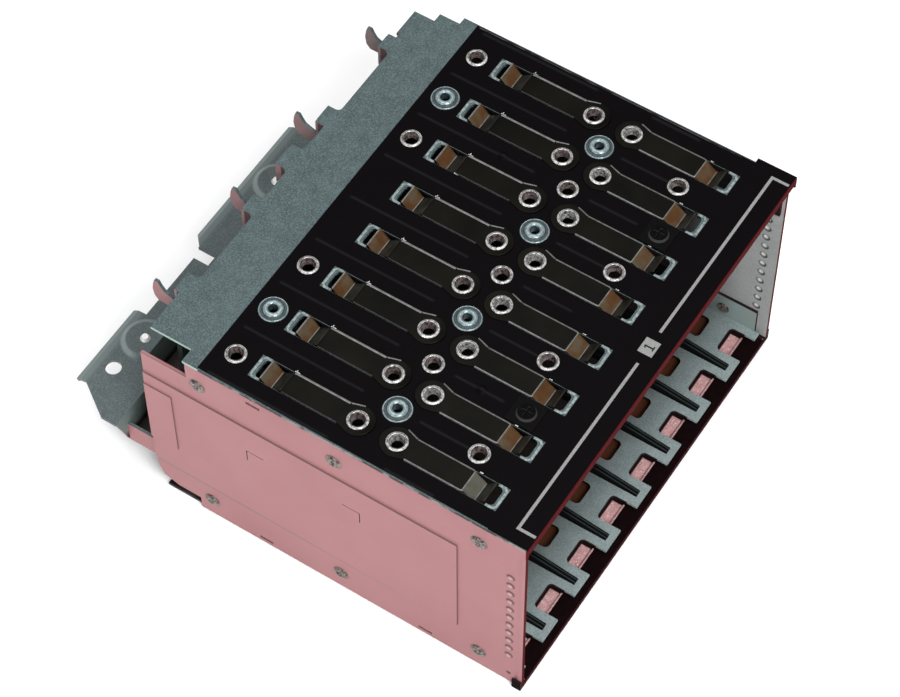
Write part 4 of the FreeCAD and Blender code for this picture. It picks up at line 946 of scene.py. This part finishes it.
def rimShapes(row, i):
    # a U round the slot's end, as short straight bars
    half, near, end, w = slotRim["half"], slotRim["near"], slotRim["end"], slotRim["width"]
    cut, inCut = slotRim["corner"], slotRim["innerCorner"]
    path = [(-half, near), (-half, end - cut), (-half + cut, end),
            (half - cut, end), (half, end - cut), (half, near)]
    inner = [(-half + w, near), (-half + w, end - inCut), (-half + inCut, end - w),
             (half - inCut, end - w), (half - w, end - inCut), (half - w, near)]
    shapes = []
    for k in range(len(path) - 1):
        ring = [path[k], path[k + 1], inner[k + 1], inner[k]]
        ring = [(bayX(i) + u, front + row["place"] + row["way"] * v) for u, v in ring]
        shapes.append(ring if row["way"] < 0 else ring[::-1])
    return shapes


def glintShapes(row, i):
    # a small bright slab is a painted glint where the film's corner beside the dip catches the light
    shapes = []
    for beside, along, halfX, halfY in filmGlint[row["name"]]:
        x = bayX(i) + beside
        y = front + row["place"] + row["way"] * along
        shapes.append(bar(x - halfX, x + halfX, y - halfY, y + halfY))
    return shapes


def everySlot(shapesFor):
    return [shape for row in rows for i in range(bays) for shape in shapesFor(row, i)]


slabs({"name": "filmGlints", "heights": (filmTop, filmTop + filmGlint["rise"]), "mats": [bright],
       "slot": "black_film", "shapes": everySlot(glintShapes)})
slabs({"name": "slotRims", "heights": (coverTop, coverTop + slotRim["rise"]), "mats": [rimHighlightZinc],
       "slot": "zinc_sheet", "shapes": everySlot(rimShapes)})


# ---- printed frame and tile on the front of the film ----

printed = {
    "rise": 0.03,
    "lineY": front + 5.05,
    "lineHalf": 0.45,
    "left": (-68.5, -5.6),       # the line's two stretches, with the tile between
    "right": (6.5, 70.6),
    "legWidth": 0.9,
    "legFront": front - 0.4,
    "tile": (0.6, front + 5.1),
    "tileHalf": (2.7, 2.3),
    "digitRise": 0.02,
    "digit": ([(-0.22, -1.3), (0.28, -1.3), (0.28, 1.5), (-0.22, 1.5)],          # stem
              [(-0.8, -1.55), (0.9, -1.55), (0.9, -1.15), (-0.8, -1.15)],        # foot
              [(-0.85, 0.75), (-0.22, 0.95), (-0.22, 1.5), (-0.8, 1.1)]),        # flag
}
edgeLine = {"across": (71.72, 71.94), "along": (front + 16.0, front + 106.0)}

inkTop = filmTop + printed["rise"]
slabs({"name": "filmEdge", "heights": (filmTop, inkTop), "mats": [rubbed], "slot": "black_film",
       "shapes": [bar(*edgeLine["across"], *edgeLine["along"])]})
lineFront = printed["lineY"] - printed["lineHalf"]
lineBack = printed["lineY"] + printed["lineHalf"]
(leftEnd, leftStop), (rightStop, rightEnd) = printed["left"], printed["right"]
legs = [(leftEnd, leftEnd + printed["legWidth"]), (rightEnd - printed["legWidth"], rightEnd)]
slabs({"name": "labelLines", "heights": (filmTop, inkTop), "mats": [inkGrey],
       "shapes": [bar(leftEnd, leftStop, lineFront, lineBack), bar(rightStop, rightEnd, lineFront, lineBack)]
       + [bar(*leg, printed["legFront"], lineFront) for leg in legs]})
tileX, tileY = printed["tile"]
halfX, halfY = printed["tileHalf"]
slabs({"name": "labelTile", "heights": (filmTop, inkTop), "mats": [inkGrey],
       "shapes": [bar(tileX - halfX, tileX + halfX, tileY - halfY, tileY + halfY)]})
slabs({"name": "labelDigit", "heights": (inkTop, inkTop + printed["digitRise"]), "mats": [inkBlack],
       "shapes": [[(tileX + u, tileY + v) for u, v in shape] for shape in printed["digit"]]})
print("label done")


# ---- camera, light and floor ----

view = {
    "at": (-0.41463, -0.26202, 0.77824),
    "turn": (0.58346, 0.00386, -0.99997),
    "lens": 120.17,
    "sensor": 36,
    "clip": (0.01, 20),
}
camData = bpy.data.cameras.new("camera")
cam = bpy.data.objects.new("camera", camData)
bpy.context.scene.collection.objects.link(cam)
cam.location = view["at"]
cam.rotation_euler = view["turn"]
camData.lens = view["lens"]
camData.sensor_width = view["sensor"]
camData.clip_start, camData.clip_end = view["clip"]
bpy.context.scene.camera = cam

floorHalf = 3.0            # both in metres
floorDrop = 0.0002
corners = [(-1, -1), (1, -1), (1, 1), (-1, 1)]
floorMesh = bpy.data.meshes.new("floor")
floorMesh.from_pydata([(floorHalf * x, floorHalf * y, -floorDrop) for x, y in corners], [], [(0, 1, 2, 3)])
floor = bpy.data.objects.new("floor", floorMesh)
bpy.context.scene.collection.objects.link(floor)
paper = Mat("floorPaper", (0.97, 0.97, 0.97), 0.9, 0.0, 0.1)
paper.color(paper.mottle(40, (0.96, 0.96, 0.96), (0.98, 0.98, 0.98)))
floorMesh.materials.append(paper.mat)


lightAim = (0, 0, 0.05)


def softbox(light):
    data = bpy.data.lights.new(light["name"], "AREA")
    data.shape = "RECTANGLE"
    data.size, data.size_y = light["size"]
    data.energy = light["power"]
    o = bpy.data.objects.new(light["name"], data)
    bpy.context.scene.collection.objects.link(o)
    o.location = light["at"]
    toward = Vector(lightAim) - Vector(light["at"])
    o.rotation_euler = toward.to_track_quat("-Z", "Y").to_euler()


softbox({"name": "keyLight", "at": (-0.55, -0.75, 1.1), "size": (0.5, 0.5), "power": 17})
softbox({"name": "topLight", "at": (0.2, 0.2, 1.5), "size": (1.2, 1.2), "power": 14})
softbox({"name": "leftFill", "at": (-1.3, 0.1, 0.5), "size": (0.9, 0.7), "power": 6})

# the world is white to the camera and dimmer as a light
skyLevel = {"light": 0.42, "camera": 1.0}
world = bpy.data.worlds.new("world")
bpy.context.scene.world = world
world.use_nodes = True
tree = world.node_tree
back = tree.nodes["Background"]
back.inputs["Color"].default_value = (1, 1, 1, 1)
path = tree.nodes.new("ShaderNodeLightPath")
level = tree.nodes.new("ShaderNodeMapRange")
level.inputs["To Min"].default_value = skyLevel["light"]
level.inputs["To Max"].default_value = skyLevel["camera"]
tree.links.new(path.outputs["Is Camera Ray"], level.inputs["Value"])
tree.links.new(level.outputs["Result"], back.inputs["Strength"])
bpy.context.scene.view_settings.view_transform = "Standard"
print("stage done")
